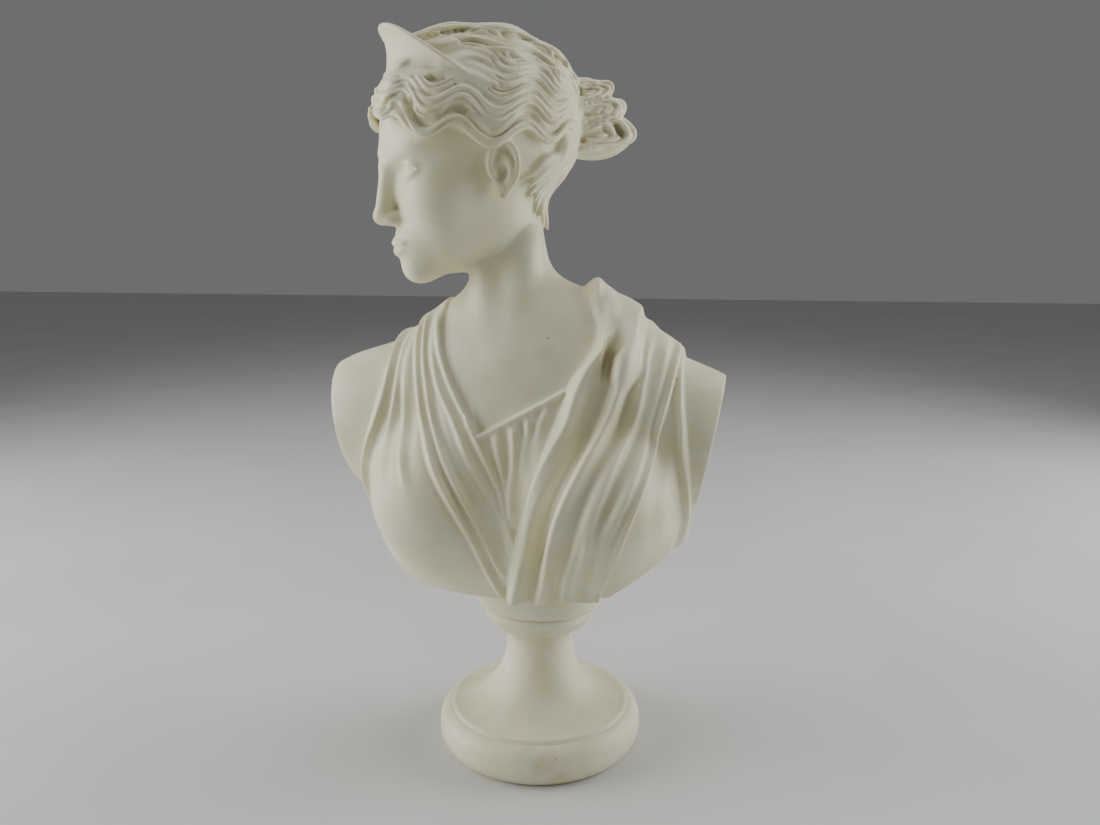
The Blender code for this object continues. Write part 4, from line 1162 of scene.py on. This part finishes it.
def lathe_tree():
    """Geometry nodes that turn the points of a profile, given in order, round the Z axis."""
    inputs = {"Profile": "Geometry", "Steps round": "Int", "Stone": "Material"}
    tree, given, result = new_tree("turned on the lathe", inputs, "Turned")
    add, link_up = tree.nodes.new, tree.links.new

    count = add("GeometryNodeAttributeDomainSize")
    count.component = "MESH"
    link_up(given.outputs["Profile"], count.inputs[0])
    rows = count.outputs["Point Count"]

    columns = math_node(tree, "ADD", given.outputs["Steps round"], 1)
    grid = add("GeometryNodeMeshGrid")
    link_up(columns, grid.inputs["Vertices X"])
    link_up(rows, grid.inputs["Vertices Y"])

    index = add("GeometryNodeInputIndex").outputs[0]
    row = math_node(tree, "MODULO", index, rows)
    column = math_node(tree, "FLOOR", math_node(tree, "DIVIDE", index, rows), 0)
    whole = math_node(tree, "DIVIDE", column, given.outputs["Steps round"])
    angle = math_node(tree, "MULTIPLY", whole, -2 * math.pi)

    sample = add("GeometryNodeSampleIndex")
    sample.data_type = "FLOAT_VECTOR"
    link_up(given.outputs["Profile"], sample.inputs["Geometry"])
    link_up(add("GeometryNodeInputPosition").outputs[0], sample.inputs["Value"])
    link_up(row, sample.inputs["Index"])
    spin = add("ShaderNodeVectorRotate")
    spin.rotation_type = "Z_AXIS"
    link_up(sample.outputs[0], spin.inputs["Vector"])
    link_up(angle, spin.inputs["Angle"])

    place = add("GeometryNodeSetPosition")
    link_up(grid.outputs["Mesh"], place.inputs["Geometry"])
    link_up(spin.outputs[0], place.inputs["Position"])
    weld = add("GeometryNodeMergeByDistance")
    weld.inputs["Distance"].default_value = WELD
    link_up(place.outputs[0], weld.inputs["Geometry"])
    finish_tree(tree, weld.outputs[0], given.outputs["Stone"], result.inputs[0])
    return tree


def make_socle(stone):
    profile = socle_profile()
    mesh = bpy.data.meshes.new("profile")
    edges = [(i, i + 1) for i in range(len(profile) - 1)]
    mesh.from_pydata([(radius, 0, height) for radius, height in profile], edges, [])
    socle = grown(link("profile", mesh), lathe_tree(), {"Steps round": SOCLE_STEPS, "Stone": stone})
    bm = bmesh.new()
    bm.from_mesh(socle.data)
    bmesh.ops.recalc_face_normals(bm, faces=bm.faces)
    bm.to_mesh(socle.data)
    bm.free()
    socle.name = socle.data.name = "socle-turning"
    socle.data.shade_smooth()
    return socle


# Recesses: how far the carving closes round each point, for the brown wash and the painted shade laid there

RECESS_REACH = 0.013
RECESS_RAYS = 20
RAY_START = 0.0002


def ray_fan():
    """Directions spread evenly over the half ball round +Z."""
    turns = np.arange(RECESS_RAYS) * math.pi * (3 - math.sqrt(5))
    up = np.sqrt((np.arange(RECESS_RAYS) + 0.5) / RECESS_RAYS)
    side = np.sqrt(1 - up**2)
    return np.column_stack([side * np.cos(turns), side * np.sin(turns), up])


def mark_recesses(obj):
    """Stores at each point the share of rays that meet the carving again, evened out."""
    mesh = obj.data
    tree = BVHTree.FromPolygons(
        [v.co for v in mesh.vertices], [tuple(p.vertices) for p in mesh.polygons]
    )
    points, normals = points_of(obj), normals_of(obj)
    fan = ray_fan()
    closed = np.zeros(len(points))
    for i, (point, normal) in enumerate(zip(points, normals)):
        turn = Vector(normal).to_track_quat("Z", "Y").to_matrix()
        start = Vector(point + normal * RAY_START)
        for ray in fan:
            if tree.ray_cast(start, turn @ Vector(ray), RECESS_REACH)[0] is not None:
                closed[i] += 1
    closed /= RECESS_RAYS
    edges = np.empty(len(mesh.edges) * 2, np.int32)
    mesh.edges.foreach_get("vertices", edges)
    a, b = edges.reshape(-1, 2).T
    joins = np.bincount(a, minlength=len(points)) + np.bincount(b, minlength=len(points))
    for _ in range(3):
        near = np.bincount(a, closed[b], len(points)) + np.bincount(b, closed[a], len(points))
        closed = 0.4 * closed + 0.6 * near / np.maximum(joins, 1)
    layer = mesh.attributes.new("recess", "FLOAT", "POINT")
    layer.data.foreach_set("value", closed.astype(np.float32))


# Ivory stone

IVORY = (0.740, 0.700, 0.475, 1.0)
PALE = (0.810, 0.780, 0.590, 1.0)
SHADE = (0.640, 0.605, 0.390, 1.0)
# Brown for the wash and the painted shade in the bust's recesses, and for the stain low on the socle's foot.
STAIN_AND_SHADE = (0.400, 0.300, 0.140, 1.0)
SPECK = (0.300, 0.230, 0.150, 1.0)


class Shader:
    """Short calls for the nodes of one material."""

    def __init__(self, name):
        self.material = bpy.data.materials.new(name)
        self.material.use_nodes = True
        self.tree = self.material.node_tree
        self.surface = self.tree.nodes["Principled BSDF"]
        self.place = self.add("ShaderNodeTexCoord").outputs["Object"]

    def add(self, kind, **settings):
        node = self.tree.nodes.new(kind)
        for key, value in settings.items():
            setattr(node, key, value)
        return node

    def join(self, value, socket):
        feed(self.tree, value, socket)

    def noise(self, scale, detail=3.0, roughness=0.55):
        node = self.add("ShaderNodeTexNoise")
        self.join(self.place, node.inputs["Vector"])
        node.inputs["Scale"].default_value = scale
        node.inputs["Detail"].default_value = detail
        node.inputs["Roughness"].default_value = roughness
        return node.outputs["Fac"]

    def spread(self, value, low, high, to_low=0.0, to_high=1.0):
        node = self.add("ShaderNodeMapRange", interpolation_type="SMOOTHSTEP")
        for socket, given in zip(node.inputs, (value, low, high, to_low, to_high)):
            self.join(given, socket)
        return node.outputs[0]

    def math(self, operation, a, b):
        return math_node(self.tree, operation, a, b)

    def mix(self, share, a, b):
        node = self.add("ShaderNodeMix", data_type="RGBA")
        self.join(share, node.inputs["Factor"])
        self.join(a, node.inputs["A"])
        self.join(b, node.inputs["B"])
        return node.outputs["Result"]

    def height(self):
        node = self.add("ShaderNodeSeparateXYZ")
        self.join(self.place, node.inputs[0])
        return node.outputs["Z"]


def ivory_stone(name, recessed):
    """Cast stone with a soft wax-like depth, faint clouds, a brown wash with painted shade in the recesses
    and few specks.
    """
    s = Shader(name)
    clouds = s.spread(s.noise(38, 4), 0.35, 0.68)
    colour = s.mix(clouds, IVORY, PALE)
    patches = s.spread(s.noise(14, 3), 0.48, 0.72, 0, 0.35)
    colour = s.mix(patches, colour, SHADE)
    if recessed:
        # Painted shade: the recess share from ray casting darkens the colour towards brown, partly a wash in
        # the hollows and partly shade painted in.
        depth = s.add("ShaderNodeAttribute", attribute_name="recess").outputs["Fac"]
        wash_and_shade = s.spread(depth, 0.42, 0.90, 0, 0.66)
        uneven = s.spread(s.noise(60, 3), 0.3, 0.65, 0.55, 1.0)
        colour = s.mix(s.math("MULTIPLY", wash_and_shade, uneven), colour, STAIN_AND_SHADE)
    else:
        smudge = s.spread(s.noise(45, 4), 0.56, 0.72, 0, 0.30)
        low = s.spread(s.height(), FOOT_RIM + 0.003, FOOT_RIM - 0.004, 0, 1)
        colour = s.mix(s.math("MULTIPLY", smudge, low), colour, STAIN_AND_SHADE)
    specks = s.add("ShaderNodeTexVoronoi", feature="F1")
    s.join(s.place, specks.inputs["Vector"])
    specks.inputs["Scale"].default_value = 62
    dots = s.spread(specks.outputs["Distance"], 0.050, 0.030, 0, 1)
    rare = s.spread(s.noise(21, 1), 0.60, 0.63, 0, 0.75)
    colour = s.mix(s.math("MULTIPLY", dots, rare), colour, SPECK)
    s.join(colour, s.surface.inputs["Base Color"])

    grain = s.noise(900, 3)
    worn = s.noise(70, 4)
    gloss = s.math("ADD", s.spread(worn, 0.3, 0.7, 0.38, 0.50), s.spread(grain, 0.35, 0.65, -0.03, 0.05))
    s.join(gloss, s.surface.inputs["Roughness"])
    uneven = s.math("ADD", s.math("MULTIPLY", grain, 0.12), s.math("MULTIPLY", s.noise(160, 4), 0.88))
    bump = s.add("ShaderNodeBump")
    bump.inputs["Strength"].default_value = 0.35
    bump.inputs["Distance"].default_value = 0.0006
    s.join(uneven, bump.inputs["Height"])
    s.join(bump.outputs[0], s.surface.inputs["Normal"])

    s.surface.inputs["Subsurface Weight"].default_value = 0.15
    s.surface.inputs["Subsurface Radius"].default_value = (1.0, 0.75, 0.45)
    s.surface.inputs["Subsurface Scale"].default_value = 0.002
    s.surface.inputs["Specular IOR Level"].default_value = 0.42
    return s.material


# Stage, light and camera

PAPER = ((0.60, 0.60, 0.59, 1), (0.63, 0.63, 0.62, 1))
ROOM = (0.62, 0.63, 0.64, 1)
ROOM_LIGHT = 0.25
# Soft square panels of light that face the bust: place and power
PANELS = {
    "left wall": ((-1.00, -0.22, 0.45), 13.0),
    "right wall": ((1.00, 0.32, 0.45), 11.0),
    "roof": ((0.05, 0.12, 1.25), 5.5),
}
PANEL_SIZE = 0.9
LIT_POINT = (0, 0, 0.24)


def make_floor():
    bpy.ops.mesh.primitive_plane_add(size=8.0)
    floor = bpy.context.object
    floor.name = "floor"
    paper = Shader("pale paper")
    tone = paper.spread(paper.noise(6, 2), 0.3, 0.7)
    paper.join(paper.mix(tone, *PAPER), paper.surface.inputs["Base Color"])
    paper.surface.inputs["Roughness"].default_value = 0.85
    floor.data.materials.append(paper.material)


def light_up():
    for name, (place, power) in PANELS.items():
        data = bpy.data.lights.new(name, "AREA")
        data.size = PANEL_SIZE
        data.energy = power
        panel = link(name, data)
        panel.location = place
        panel.rotation_euler = (Vector(place) - Vector(LIT_POINT)).to_track_quat("Z", "Y").to_euler()
    world = bpy.data.worlds.new("room")
    world.use_nodes = True
    background = world.node_tree.nodes["Background"]
    background.inputs["Color"].default_value = ROOM
    background.inputs["Strength"].default_value = ROOM_LIGHT
    bpy.context.scene.world = world


def make_camera():
    data = bpy.data.cameras.new("camera")
    data.sensor_width = SENSOR
    data.lens = FOCAL_SHARE * SENSOR
    data.clip_start = 0.01
    camera = link("camera", data)
    stand = Matrix.Rotation(math.radians(CAMERA_ROUND), 4, "Z")
    stand @= Matrix.Translation((CAMERA_ASIDE, -CAMERA_BACK, CAMERA_UP))
    camera.matrix_world = stand @ Matrix.Rotation(math.radians(90 - CAMERA_DOWN), 4, "X")
    bpy.context.scene.camera = camera


def main():
    make_camera()
    light_up()
    make_floor()

    stone = ivory_stone("ivory stone, carved", True)
    bust = make_bust(stone)
    mark_recesses(bust)
    bust.data.materials.append(stone)
    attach(bust, "root")
    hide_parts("bust")

    socle = make_socle(ivory_stone("ivory stone, turned", False))
    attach(socle, "root")
    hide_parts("socle")


main()
